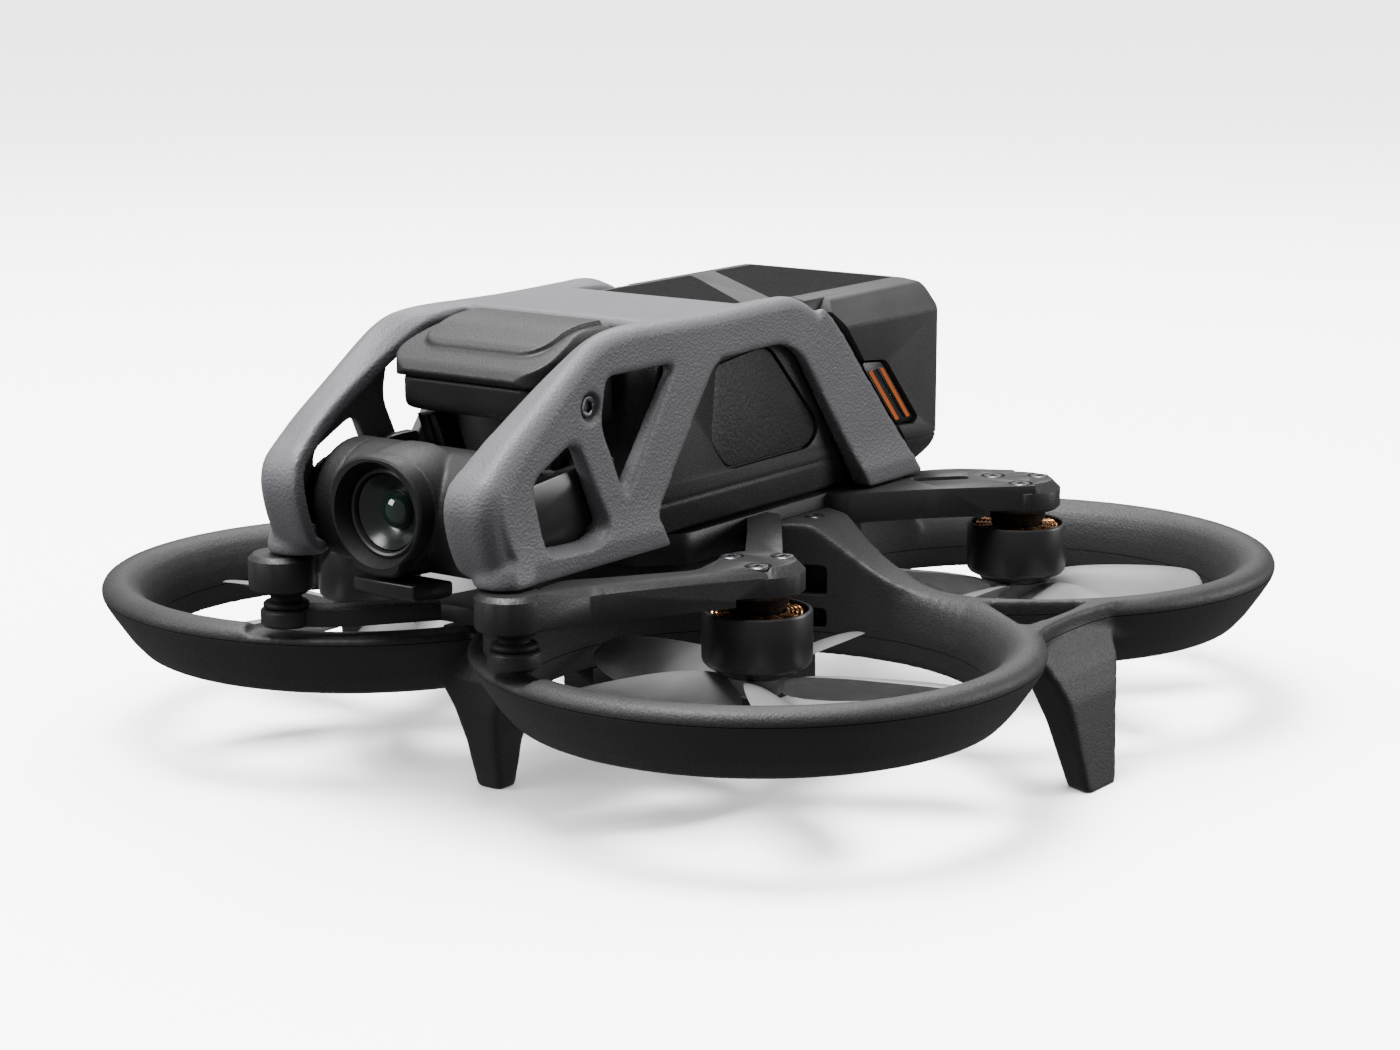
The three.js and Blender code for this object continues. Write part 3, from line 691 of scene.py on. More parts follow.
# ---- deck, arms and dampers ----
FRONT_RADII = [0, 2, 2, 2, 0, 0, 4, 2, 0]
FRONT_LIMB = [(27.2, -78.8), (25.9, -73.1), (29.9, -68.3), (39.2, -55), (37.4, -46.3),
              (48.1, -47.6), (41.3, -59.9), (33.9, -73.8), (29.4, -84.4)]
FRONT_CREST = [(26.6, -78.8), (26.1, -73.1), (30.0, -68.2), (39.1, -54.8), (37.4, -46.3),
               (46.9, -46.9), (39.9, -59.2), (32.5, -73.1), (28.2, -83.6)]
INNER_LIMB = [
    (38.2, -40.0), (28.4, -25.2), (21, -14.6), (20, -9.6), (24.5, -9.6), (32.4, -20.6),
    (42.6, -35.4),
]
REAR_LIMB = [
    (20, 9.6), (24.5, 10), (34.5, 23.5), (48.8, 37.8), (37.8, 48.8), (27.5, 43.5), (22, 35),
    (20, 34),
]
REAR_SLOT = rounded([(26.2, 30.4), (28.6, 28.4), (35.8, 36.4), (33.6, 38.6)], 1.4)
DECK = rounded([(-15, -40), (15, -40), (21.6, -33), (21.6, 34), (-21.6, 34), (-21.6, -33)], 1.5)
HEAD = [
    (0, ARM_LOW), (7.2, ARM_LOW), (7.9, ARM_LOW + 0.6), (7.9, 41.8), (6.3, ARM_TOP), (0, ARM_TOP),
]
NOSE_BOSS = [(0, 37.6), (5.3, 37.6), (5.5, 38), (5.5, 42.6), (4.7, ARM_TOP), (0, ARM_TOP)]
BELL_ROOM = drum(10.6, 30, 38.9)
SCREW_CIRCLE = 5
SCREWS = 3
FIRST_SCREW = -math.pi * 0.3


def screw_spots(sx, sy):
    """Where the screws of one motor stand."""
    spots = []
    for k in range(SCREWS):
        angle = FIRST_SCREW + k * math.pi * 2 / SCREWS
        x = sx * MOTOR + sx * SCREW_CIRCLE * math.cos(angle)
        spots.append((x, sy * MOTOR + SCREW_CIRCLE * math.sin(angle)))
    return spots


def limb_loft(name, foot, crest, radii):
    """A limb with upright walls and a chamfer up to the crest outline."""
    low, high = rounded(foot, radii), rounded(crest, radii)
    rings = [
        [(x, y, z) for x, y in ring] for ring, z in ((low, 37.6), (low, 42.2), (high, ARM_TOP))
    ]
    return skinned(name, rings)


def left_limbs():
    front = limb_loft("front", FRONT_LIMB, FRONT_CREST, FRONT_RADII)
    boss = turned("boss", NOSE_BOSS, 24.2, -84.2, 40)
    rear = plate("rear", rounded(REAR_LIMB, [0, 3, 5, 0, 0, 4, 2, 0]), ARM_LOW, ARM_TOP)
    cut(rear, plate("slot", REAR_SLOT, 30, ABOVE))
    inner = plate("inner", rounded(INNER_LIMB, [0, 3, 2, 0, 0, 3, 0]), ARM_LOW, ARM_TOP - 0.2)
    return join(front, boss, inner, rear)


def build_deck():
    deck = plate("deck_arms", DECK, ARM_LOW, ARM_TOP)
    limbs = left_limbs()
    join(deck, limbs, mirrored(limbs, "right_limbs"))
    cut(deck, *at_motors(BELL_ROOM, 64))
    join(deck, *at_motors(HEAD, 64))
    spots = [spot for _, sx, sy in CORNERS for spot in screw_spots(sx, sy)]
    cut(deck, *[disc("bore", 2.25, 42.0, ABOVE, x, y) for x, y in spots])
    edged(deck, 0.28, 28)
    finished(deck, "airframe", FRAME, "frame_black", "frame_deck")
    for name, sx, sy in CORNERS:
        heads = []
        for x, y in screw_spots(sx, sy):
            head = socket_screw("head", 1.85, 1.4)
            head.data.transform(Matrix.Translation(shown((x, y, ARM_TOP + 0.05))))
            heads.append(head)
        screws = shaded(merged(f"mount_screws_{name}", *heads), 30)
        nodes = [f"mount_screw_{name}_{k + 1}" for k in range(SCREWS)]
        finished(screws, "airframe", STEEL, "steel", *nodes)


FORK = rounded(
    [
        (0, -50), (6, -50), (8.6, -62), (17.5, -75), (28.6, -82.4), (26, -87.2), (14.6, -79.4),
        (5, -66.5), (0, -66.5),
    ],
    [0, 2, 3, 3, 3, 3, 3, 0, 0],
)
BOBBIN = [
    (0, 34), (3.5, 34), (3.8, 34.3), (3.8, 34.8), (3.5, 35.1), (2.7, 35.4), (2.6, 35.8),
    (2.7, 36.2), (3.5, 36.5), (3.8, 36.8), (3.8, 37.3), (3.5, 37.6), (0, 37.6),
]


CUP = [(0, 30.9), (3.6, 30.9), (4.3, 31.5), (4.3, 33.6), (3.9, 34), (0, 34)]


def build_dampers():
    fork = plate("damper_fork", FORK, LIP + GAP, 34)
    cups = [turned("cup", CUP, s * DAMPER[0], DAMPER[1], 48) for _, s in SIDES]
    join(fork, mirrored(fork, "fork_right"), *cups)
    finished(edged(fork, 0.4), "airframe", FRAME, "frame_black", "damper_plate")
    for name, s in SIDES:
        bobbin = shaded(turned(f"damper_bobbin_{name}", BOBBIN, s * DAMPER[0], DAMPER[1], 48), 50)
        finished(bobbin, "airframe", RUBBER, "rubber_black", f"damper_{name}")


# ---- motors and propellers ----
BELL = [
    (0, 25.6), (6.6, 25.6), (7.9, 25.65), (8.6, 25.95), (9.05, 26.5), (9.2, 27.3), (9.2, 34.8),
    (9.1, 35.1), (8.9, 35.2), (8.5, 35.2), (8.35, 35.05), (8.35, 27.4), (1.4, 27.4), (1.4, 34),
    (0, 34),
]
FLANGE = [(0, 24.4), (6.2, 24.4), (6.7, 24.7), (6.8, 25.1), (6.8, 25.9), (0, 25.9)]
COILS = 12
COIL_RADII = (5.0, 5.75, 6.5, 7.25)
COIL_LOOP = rounded([(-1.55, 29), (1.55, 29), (1.55, 34.7), (-1.55, 34.7)], 1.0, 4)
WIRE = 0.34
WIRE_SIDES = 6
TOOTH = (
    (-0.09, 4.2), (-0.09, 7.5), (-0.2, 7.6), (-0.2, 8.1), (0.2, 8.1), (0.2, 7.6), (0.09, 7.5),
    (0.09, 4.2),
)
STATOR_NECK = [
    (0, 29), (4.3, 29), (4.3, 35), (5.2, 36.2), (5.4, ARM_LOW - 0.05), (0, ARM_LOW - 0.05),
]
HUB = [(0, 20.3), (2.6, 20.3), (3.6, 20.7), (4.4, 21.4), (5.0, 23.9), (4.9, 24.2), (0, 24.2)]
# radius, chord, pitch in degrees, camber and sweep of a blade
BLADE_STATIONS = [
    (3.4, 6.3, 38, 0.2, 0.0), (7, 10.0, 36, 0.8, -0.3), (12, 13.0, 33, 1.2, -0.6),
    (18, 14.2, 29, 1.3, -0.7), (24, 13.8, 25, 1.2, -0.4), (29, 12.6, 22, 1.0, 0.1),
    (33, 10.8, 19, 0.7, 0.7), (35.6, 8.4, 17, 0.5, 1.2), (36.6, 5.4, 16, 0.3, 1.5),
]
BLADES = 5
BLADE_Z = 21.9
CHORD_STEPS = 12
# angles in degrees at which the propellers have stopped
FIRST_BLADE = {"front_left": 29, "front_right": 30, "rear_left": 46, "rear_right": 20}


def wire_loop(centre, angle, radius):
    """One turn of winding: a rounded upright loop round a stator tooth."""
    out = Vector((math.cos(angle), math.sin(angle)))
    aside = Vector((-out.y, out.x))
    rings = []
    for i, (a, z) in enumerate(COIL_LOOP):
        before, after = Vector(COIL_LOOP[i - 1]), Vector(COIL_LOOP[(i + 1) % len(COIL_LOOP)])
        run = (after - before).normalized()
        ring = []
        for k in range(WIRE_SIDES):
            turn = k * 2 * math.pi / WIRE_SIDES
            side, depth = WIRE * math.cos(turn), WIRE * math.sin(turn)
            flat = out * (radius + depth) + aside * (a + side * run.y)
            ring.append((centre[0] + flat.x, centre[1] + flat.y, z - side * run.x))
        rings.append(ring)
    return rings


def coil_set(name, x, y):
    """The windings of one stator, four turns on each tooth."""
    points, faces = [], []
    sides = range(WIRE_SIDES)
    for k in range(COILS):
        for radius in COIL_RADII:
            rings = wire_loop((x, y), 2 * math.pi * k / COILS, radius)
            base, count = len(points), len(rings)
            points += [p for ring in rings for p in ring]
            for i in range(count):
                low = base + i * WIRE_SIDES
                high = base + ((i + 1) % count) * WIRE_SIDES
                faces += [
                    (low + j, low + (j + 1) % WIRE_SIDES, high + (j + 1) % WIRE_SIDES, high + j)
                    for j in sides
                ]
    return solid(name, points, faces)


def stator_core(name, x, y):
    """The toothed star that carries the windings, and the neck it hangs on."""
    teeth = []
    for k in range(COILS):
        for swing, r in TOOTH:
            a = 2 * math.pi * k / COILS + swing
            teeth.append((x + r * math.cos(a), y + r * math.sin(a)))
    star = plate(name, teeth, 29.6, 34.0)
    return shaded(join(star, turned("neck", STATOR_NECK, x, y, 48)), 40)


def blade_mesh(turn):
    """One twisted and cambered blade along x; turn is the sense in which it spins."""
    rings = []
    for r, chord, pitch, camber, sweep in BLADE_STATIONS:
        tilt = math.radians(pitch) * turn
        thick = 0.75 if r < 30 else 0.5
        top, bottom = [], []
        for k in range(CHORD_STEPS + 1):
            c = k / CHORD_STEPS
            bow = 4 * c * (1 - c)
            half = thick * math.sqrt(max(0.0, 1 - (2 * c - 1) ** 4)) * 0.5 + 0.04
            top.append((c - 0.5, bow * camber + half))
            bottom.append((c - 0.5, bow * camber - half))
        ring = []
        for c, h in top + bottom[::-1]:
            s = c * chord + sweep
            y = (s * math.cos(tilt) - h * math.sin(tilt) * turn) * turn
            ring.append((r, y, s * math.sin(tilt) * turn + h * math.cos(tilt)))
        rings.append(ring)
    blade = skinned("blade", rings)
    soft = blade.modifiers.new("soft", "SUBSURF")
    soft.levels = 1
    return applied(blade)


def propeller(name, sx, sy):
    turn = sx * sy
    hub = turned("hub", HUB, steps=48)
    blade = blade_mesh(turn)
    blades = []
    for k in range(BLADES):
        angle = math.radians(FIRST_BLADE[name] + 360 / BLADES * k)
        spin = Matrix.Translation((0, 0, BLADE_Z * MM)) @ Matrix.Rotation(angle, 4, "Z")
        blades.append(copied(blade, "blade_copy", spin))
    bpy.data.objects.remove(blade)
    whole = merged(f"propeller_blades_{name}", hub, *blades)
    whole.data.transform(Matrix.Translation((sx * MOTOR * MM, sy * MOTOR * MM, 0)))
    return shaded(whole, 50)


def build_motors():
    for name, sx, sy in CORNERS:
        x, y = sx * MOTOR, sy * MOTOR
        body = f"rotor_{name}"
        bell = merged(
            f"bell_{name}", turned("bell", BELL, x, y), turned("flange", FLANGE, x, y, 64),
        )
        finished(shaded(bell, 35), body, SATIN, "satin_black", f"motor_bell_{name}")
        finished(propeller(name, sx, sy), body, BLADE, "blade_grey", f"propeller_{name}")
        core = stator_core(f"stator_core_{name}", x, y)
        finished(core, "airframe", INNER, "satin_black", f"stator_{name}")
        coils = shaded(coil_set(f"stator_coils_{name}", x, y), 60)
        finished(coils, "airframe", COPPER, "copper_winding")


# ---- battery bay ----
CASE_SIDE = rounded(
    [(-43, 43.7), (-43, 71.8), (-39, 76.2), (4.4, 76.2), (9, 72.4), (33, 43.7)], [1, 3, 2, 2, 1, 1],
)
PANEL_SIDE = rounded(
    [
        (-25.1, 71.2), (-26.5, 58.2), (-21.6, 52.9), (3.2, 53.1), (5.9, 55.4), (4.9, 58.2),
        (-9.8, 72.8),
    ],
    [2, 2, 2.4, 2, 2, 2, 3],
)
PANEL_POCKET = rounded(
    [
        (-25.5, 71.6), (-26.9, 58.1), (-21.8, 52.5), (3.4, 52.7), (6.4, 55.3), (5.3, 58.3),
        (-9.6, 73.2),
    ],
    [2.2, 2.2, 2.6, 2.2, 2.2, 2.2, 3.2],
)
BAY_HALF = 20
GROOVE = oblong(-44, 40, 49.35, 49.65)
CASE_SECTION = two_sided([(-20.4, 43.7), (-CASE_HALF, 49.6), (-CASE_HALF, 76.2)], [1, 3, 3])


def build_bay():
    bay = across("bay_shell", CASE_SIDE, -CASE_HALF, CASE_HALF)
    overlap(bay, along("front", CASE_SECTION, -60, 60))
    hollow = block("hollow", -BAY_HALF, BAY_HALF, -37, 60, 46, 90)
    pockets = [across("pocket", PANEL_POCKET, *span(s, CASE_HALF - 1.1, 30)) for _, s in SIDES]
    cut(bay, hollow, *pockets)
    cut(bay, *[across("groove", GROOVE, *span(s, CASE_HALF - 0.25, 30)) for _, s in SIDES])
    finished(edged(bay, 0.5), "airframe", CASE, "cover_grey", "battery_bay")
    for name, s in SIDES:
        x_range = span(s, CASE_HALF - 1.0, CASE_HALF - 0.35)
        panel = edged(across(f"bay_panel_{name}", PANEL_SIDE, *x_range), 0.25)
        finished(panel, "airframe", PANEL, "battery_grey", f"side_panel_{name}")


# ---- canopy ----
# the strip that turns inwards along the front and top edge: place (y, z), drop of its inner edge,
# depth, and half the gap between the left and right strips
CANOPY_STRIP = smoothed(
    [
        (-82.6, 43.7, 0.1, 3.0, 15.6), (-86.2, 45.4, 0.1, 3.1, 15.5), (-88.2, 48.8, 0.1, 3.3, 15.3),
        (-89.6, 53.2, 0.1, 3.5, 15.3), (-89.95, 57, 0.0, 3.7, 15.5), (-88.8, 60.4, 0.0, 3.9, 15.9),
        (-85.6, 63.3, 0.1, 4.0, 16.5), (-81.3, 66.6, 0.2, 4.0, 17.0), (-76, 70.1, 0.5, 4.0, 17.3),
        (-71, 73.4, 1.0, 4.0, 17.4), (-66.5, 76.4, 1.7, 3.8, 17.4), (-62, 79.0, 2.2, 3.6, 17.4),
        (-58, 80.4, 2.0, 3.4, 17.4), (-53, 80.95, 1.1, 3.1, 17.5), (-47, 81, 0.5, 3.0, 17.6),
        (-42, 80.9, 0.4, 3.0, 17.6), (-28, 80.7, 0.2, 2.9, 17.6), (-12, 80.9, 0.5, 2.9, 17.6),
        (-7, 81, 0.8, 3.0, 17.6), (-3.2, 80.6, 0.9, 3.0, 17.6), (0.6, 79.3, 0.9, 3.0, 17.7),
        (4.4, 77.2, 0.8, 3.0, 17.8),
    ]
)
CANOPY_REAR = rounded(
    [(4.4, 77.2), (8.4, 75.2), (35.6, 44.3), (35, 43.7), (17.6, 43.7), (-2.7, 70.8), (-8, 73.1),
     (-28.2, 72.8), (-46.6, 49.2), (-43.4, 43.7), (-60, 43.7)],
    [0, 3, 0.5, 0.5, 1, 3, 3, 3, 1.5, 0.8, 0],
)
CANOPY_SIDE = [point[:2] for point in CANOPY_STRIP] + CANOPY_REAR[1:-1]
# the rounding of the corner between side and strip: place x, depth below the skin
CANOPY_CORNER = [
    (27, -1.5), (27, 3.6), (24.75, 3.6), (24.6, 2.5), (24.2, 1.6), (23.6, 0.85), (22.8, 0.3),
    (21.8, 0), (21.8, -1.5),
]
WINDOW_FRONT = [(-67.3, 64.5), (-78.1, 59.4), (-75.2, 48.4), (-64.3, 47.9), (-60.3, 50.0)]
WINDOW_MIDDLE = [(-58.6, 73.7), (-40.4, 73.6), (-54.7, 54.7), (-60.2, 66.4)]
BOSS = (-63.2, 69.6)
CANOPY_FOOT = [(0, 43.7), (4.9, 43.7), (5.1, 45), (4.8, 46.8), (3.8, 48.4), (2.2, 49.3), (0, 49.7)]
CANOPY_LOBE = rounded(
    [(-47.6, 43.7), (-44.6, 43.7), (-46.6, 50.6), (-50.2, 52.6), (-54.8, 46.2), (-56, 43.7)], 0.8,
)
CANOPY_BUMP = [(4.6, 77.9), (8.0, 75.5), (6.4, 72.9), (2.8, 76)]
CANOPY_BAR = rounded(
    [(-43.4, 80.8), (-28, 80.4), (-15.5, 80.8), (-15.5, 77.9), (-43.4, 77.9)],
    [1.4, 6, 1.4, 0.5, 0.5],
)
CANOPY_ENVELOPE = two_sided(
    [(-27, 42), (-25.4, 50), (-24.8, 60), (-24.3, 73), (-24.0, 82)], [0, 4, 20, 20, 0],
)


def swept(name, section_at):
    """Skins a section that follows the canopy's front and top edge."""
    rings = []
    last = len(CANOPY_STRIP) - 1
    for i, (y, z, drop, depth, gap) in enumerate(CANOPY_STRIP):
        ahead = Vector(CANOPY_STRIP[min(i + 1, last)][:2])
        behind = Vector(CANOPY_STRIP[max(i - 1, 0)][:2])
        run = (ahead - behind).normalized()
        inward = Vector((run.y, -run.x))
        at = Vector((y, z))
        rings.append([(x, *(at + inward * d)) for x, d in section_at(drop, depth, gap)])
    return skinned(name, rings)


def strip_section(drop, depth, gap):
    top = [(26, 0), (21.6, 0), (gap + 1.6, drop * 0.6), (gap, drop + 0.4)]
    return top + [(gap, drop + depth * 0.75), (22.4, depth), (26, depth)]


def window(outline, radius):
    """A window that opens a little wider outwards."""
    inner = rounded(outline, radius)
    u = sum(p[0] for p in outline) / len(outline)
    v = sum(p[1] for p in outline) / len(outline)
    rings = []
    for x, grow in ((10, 1.0), (23.2, 1.0), (24.0, 1.03), (25.0, 1.12), (30, 1.3)):
        rings.append([(x, u + (y - u) * grow, v + (z - v) * grow) for y, z in inner])
    return skinned("window", rings)


def canopy_half():
    """The left half of the canopy, with hard edges."""
    skin = across("canopy", CANOPY_SIDE, CANOPY_IN, 26)
    join(skin, swept("strip", strip_section))
    cut(skin, swept("corner", lambda drop, depth, gap: CANOPY_CORNER))
    join(skin, turned("dome", CANOPY_FOOT, 21.9, -82.4, 48))
    join(skin, across("lobe", CANOPY_LOBE, 23, 25.5))
    front = window(WINDOW_FRONT, [2.6, 2.6, 2.2, 2.2, 1.8])
    cut(skin, front, window(WINDOW_MIDDLE, [2.2, 2.2, 1.7, 2.2]))
    join(skin, across("ring", circle(*BOSS, 3.3), CANOPY_IN, 24.35))
    cut(skin, across("well", circle(*BOSS, 2.35), CANOPY_IN + 0.9, 30))
    return join(skin, across("bump", CANOPY_BUMP, 22.6, 24.3))


def build_canopy():
    canopy = canopy_half()
    join(canopy, mirrored(canopy, "right"), across("bar", CANOPY_BAR, -19, 19))
    overlap(canopy, along("envelope", CANOPY_ENVELOPE, -91, 60))
    canopy.name = "canopy_shell"
    moulded(canopy, 0.38, 9)
    finished(canopy, "airframe", CANOPY, "canopy_grey", "canopy_frame")
    for name, s in SIDES:
        screw = socket_screw(f"canopy_screw_head_{name}", 1.9)
        turn = Matrix.Rotation(math.radians(90 * s), 4, "Y")
        screw.data.transform(Matrix.Translation(shown((s * 23.9, BOSS[0], BOSS[1]))) @ turn)
        finished(screw, "airframe", DARK_STEEL, "steel", f"canopy_screw_{name}")


# ---- nose cover ----
COVER_SIDE = rounded(
    [
        (-43.6, 72.3), (-66.4, 71.7), (-67.5, 72.8), (-66.6, 74.4), (-61, 76.9), (-54.5, 79.2),
        (-50, 79.8), (-43.6, 79.8),
    ],
    [0, 0.8, 0.8, 1.5, 4, 4, 3, 0.3],
)
RAISED_SIDE = rounded(
    [
        (-45.4, 75), (-62.6, 75), (-62.6, 76.9), (-61.2, 77.7), (-54.6, 80.1), (-50, 80.7),
        (-45.4, 80.7),
    ],
    [0, 0, 0, 0.5, 4, 3, 0.4],
)
TRAY_SIDE = rounded(
    [(-46, 64.2), (-57.5, 64.2), (-63.8, 66.2), (-66.2, 71.5), (-46, 72.1)], [1, 5, 2, 0.6, 0.4],
)


RAISED_HALF = 12.9
TRAY_HALF = 15.8
CROWN = two_sided([(-COVER_HALF, 70), (-COVER_HALF, 77.2), (-13, 80.4)], [0, 3, 4])


def rounded_front(half, front, back, corner):
    """A plan outline with large corners at the front and small ones at the back."""
    return rounded(oblong(-half, half, front, back), [corner, corner, 0.6, 0.6], 10)


def build_cover():
    cover = across("nose_pillow", COVER_SIDE, -COVER_HALF, COVER_HALF)
    plan = plate("plan", rounded_front(COVER_HALF, -67.6, -43.5, 7), 60, 90)
    overlap(cover, along("crown", CROWN, -90, 0), plan)
    raised = across("raised", RAISED_SIDE, -RAISED_HALF, RAISED_HALF)
    overlap(raised, plate("plan_2", rounded_front(RAISED_HALF, -62.4, -45.2, 5), 60, 90))
    join(cover, raised)
    moulded(cover, 0.25, 3)
    finished(cover, "airframe", COVER, "cover_grey", "nose_cover")
    tray = across("cover_tray_shell", TRAY_SIDE, -TRAY_HALF, TRAY_HALF)
    overlap(tray, plate("plan_3", rounded_front(TRAY_HALF, -66.5, -45.9, 8), 50, 90))
    finished(moulded(tray, 0.3, 14), "airframe", BATTERY, "satin_black", "cover_tray")


# ---- camera ----
LENS_Z = 53.2
DRUM_HALF = [
    (0, -19.6), (7.9, -19.6), (8.4, -19.1), (8.4, -17.2), (9.4, -17.2), (10.05, -16.9),
    (10.3, -16.2), (10.3, -12.9), (9.9, -12.8), (9.9, -12.5), (10.3, -12.4),
]
DRUM = DRUM_HALF + [(r, -x) for r, x in reversed(DRUM_HALF)]
HOOD_HALF = [
    (0, 62.9), (2.8, 62.8), (5.4, 61.9), (8.0, 60.1), (9.6, 57.4), (10.1, 54), (9.4, 50.4),
    (7.6, 47.4), (5.4, 45.5), (4.9, 43.9), (3.4, 43.1), (0, 42.9),
]
HOOD = rounded(HOOD_HALF + [(-x, z) for x, z in HOOD_HALF[-2:0:-1]], 1.6, 4)
NECK_STATIONS = ((-76, 1.06), (-81, 1.04), (-83.4, 1.0), (-84.8, 0.99))
HOOD_STATIONS = ((-84.95, 0.99), (-87.0, 0.985), (-87.7, 0.965), (-88, 0.93))
HOOD_CONE = [(0, -89), (8.75, -89), (8.6, -87.8), (7.5, -85.6), (7.4, -84), (0, -84)]
LENS_BORE = [(0, -90), (8.3, -90), (8.3, -80), (0, -80)]
BEZEL = [
    (8.1, -81), (8.1, -85.0), (7.3, -85.5), (6.9, -85.75), (6.55, -85.6), (6.4, -85.2),
    (6.35, -84.4), (6.3, -81),
]
DISH = [
    (0, -80.6), (6.28, -80.6), (6.28, -84.6), (6.1, -84.9), (5.7, -84.5), (5.0, -83.7),
    (4.2, -83.0), (3.5, -82.5), (3.2, -82.3), (0, -82.2),
]
DOME = [(0, -82), (3.15, -82), (3.1, -82.7), (2.8, -83.3), (2.2, -83.9), (1.4, -84.3), (0.7, -84.5),
        (0, -84.55)]
DRUM_STEPS = 96
CHIN_SIDE = rounded(
    [(-86.4, 39.6), (-86.4, 42.2), (-80, 42.2), (-76.6, 41.2), (-76.6, 38.8), (-80, 38.8)],
    [1, 0.5, 0.5, 0.5, 1, 1],
)


def faced(name, profile, steps=72):
    """A profile of (radius, y) turned about the lens axis."""
    rings = [[(r * c, y, LENS_Z + r * s) for r, y in profile] for c, s in turns(steps)]
    return lathed(name, rings, profile)


def hood_loft(name, stations):
    """The hood's outline, scaled about the lens at each place y."""
    rings = []
    for y, grow in stations:
        rings.append([(x * grow, y, LENS_Z + (z - LENS_Z) * grow) for x, z in HOOD])
    return skinned(name, rings)


def camera_barrel():
    """The drum, turned about the tilt axis, with the neck that carries the lens."""
    rings = [[(x, TILT_Y + r * c, TILT_Z + r * s) for r, x in DRUM] for c, s in turns(DRUM_STEPS)]
    barrel = lathed("camera_drum", rings, DRUM)
    join(barrel, hood_loft("neck", NECK_STATIONS))
    moulded(barrel, 0.3, 4)
    return cut(barrel, faced("bore", LENS_BORE))


def build_camera_unit():
    finished(shaded(camera_barrel(), 60), "camera", CAMERA, "frame_black", "camera_body")
    hood = hood_loft("lens_hood", HOOD_STATIONS)
    cut(hood, faced("cone", HOOD_CONE))
    finished(shaded(hood, 30), "camera", HOOD_BLACK, "satin_black", "lens_ring")
    finished(shaded(faced("lens_bezel", BEZEL), 30), "camera", SATIN, "satin_black")
    finished(shaded(faced("lens_dish", DISH), 50), "camera", LENS, "lens_dark", "lens_glass")
    finished(shaded(faced("lens_dome", DOME, 48), 60), "camera", LENS_DEEP, "lens_dark")
    chin = across("camera_chin_block", CHIN_SIDE, -6.4, 6.4)
    finished(edged(chin, 0.35), "camera", SATIN, "satin_black", "camera_chin")


YOKE_SIDE = rounded(
    [(TILT_Y - 6, TILT_Z - 6), (TILT_Y - 6, TILT_Z + 6), (-60, 60), (-54, 60), (-54, 54), (-62, 49),
     (TILT_Y + 6, TILT_Z - 6)],
    [6, 6, 3, 1, 1, 3, 6],
)
YOKE_OUT = CANOPY_IN - GAP


def yoke():
    """The left post: a plate beside the drum, a cross bar and a ribbed strut up to the tray."""
    arm = across("arm", YOKE_SIDE, 20.0, YOKE_OUT)
    cross = block("cross", 8, YOKE_OUT, -60, -54, 54.6, 57.6)
    post = along("post", [(8.2, 56), (12.2, 56), (15.6, 64.1), (11.6, 64.1)], -59.4, -54.6)
    rib = along("rib", [(9.6, 56), (10.8, 56), (14.2, 64.1), (13.0, 64.1)], -60.1, -54.6)
    return edged(join(arm, cross, post, rib), 0.3)


def build_yokes():
    for name, s in SIDES:
        piece = yoke()
        if s == RIGHT:
            flipped = mirrored(piece, "flipped")
            bpy.data.objects.remove(piece)
            piece = flipped
        piece.name = f"yoke_{name}"
        finished(piece, "airframe", SATIN, "satin_black", f"camera_yoke_{name}")


# ---- battery ----
CORE_SIDE = rounded(
    [(-36, 46.4), (-36, 77.2), (-15, 77.2), (-15, BATTERY_TOP), (BATTERY_REAR - 1.6, BATTERY_TOP),
     (BATTERY_REAR, 77.6), (BATTERY_REAR, 48.6), (39, 45), (38, 45), (36, 46.4)],
    [2, 2, 0, 0.5, 1, 1, 3, 0, 0, 0],
)
TAIL_SIDE = rounded(
    [
        (11.6, BATTERY_TOP), (BATTERY_REAR - 1.6, BATTERY_TOP), (BATTERY_REAR, 77.6),
        (BATTERY_REAR, 48.6), (39.5, 45), (36.6, 45), (11.4, 74), (9.6, 76.4),
    ],
    [0, 1, 1, 3, 0.5, 0.5, 1, 0],
)
FRONT_SECTION = two_sided(
    [(-19.6, 46.4), (-19.6, 75), (-17.2, 77.6), (-17.0, BATTERY_TOP)], [0, 1, 0.3, 0.3],
)
TAIL_SECTION = two_sided(
    [(-21.6, 45), (-24.4, 48.6), (-24.4, 74), (-20.8, 78.5), (-17.2, BATTERY_TOP)],
    [1, 3, 1, 0.6, 0.5],
)
LATCH_SIDE = rounded(
    [(17.4, 66.4), (24.4, 65.7), (35.2, 54.1), (34.4, 53.4), (29.6, 53.6)],
    [1.4, 1.2, 0.8, 0.8, 0.8],
)
LATCH_HOLE = rounded(
    [(16.4, 67), (24.8, 66.2), (36.1, 54.1), (35.2, 52.8), (28.4, 53.2)], [1.4, 1.4, 0.8, 0.8, 0.8],
)
STRIPE_SIDES = (
    rounded([(19.4, 64.6), (20.6, 64.6), (30.2, 54.3), (29.0, 54.3)], 0.3, 3),
    rounded([(23.2, 64.7), (24.4, 64.7), (33.9, 54.4), (32.7, 54.4)], 0.3, 3),
)
BUTTON_Z = 62
BUTTON_R = 5
CORE_HALF = 19.6
TAIL_RANGE = (5, 50)
BATTERY_LINE = (50.0, 50.3)
CHARGE_DOTS = 4
TOP_PANELS = (
    [(-15.8, -14.2), (16.4, -14.2), (15.2, -7.5), (-9.8, 14.6), (-15.8, 19.4)],
    [(-15.8, 27.0), (-9.4, 21.8), (16.4, 0.2), (16.4, 39.8), (-15.8, 39.8)],
)


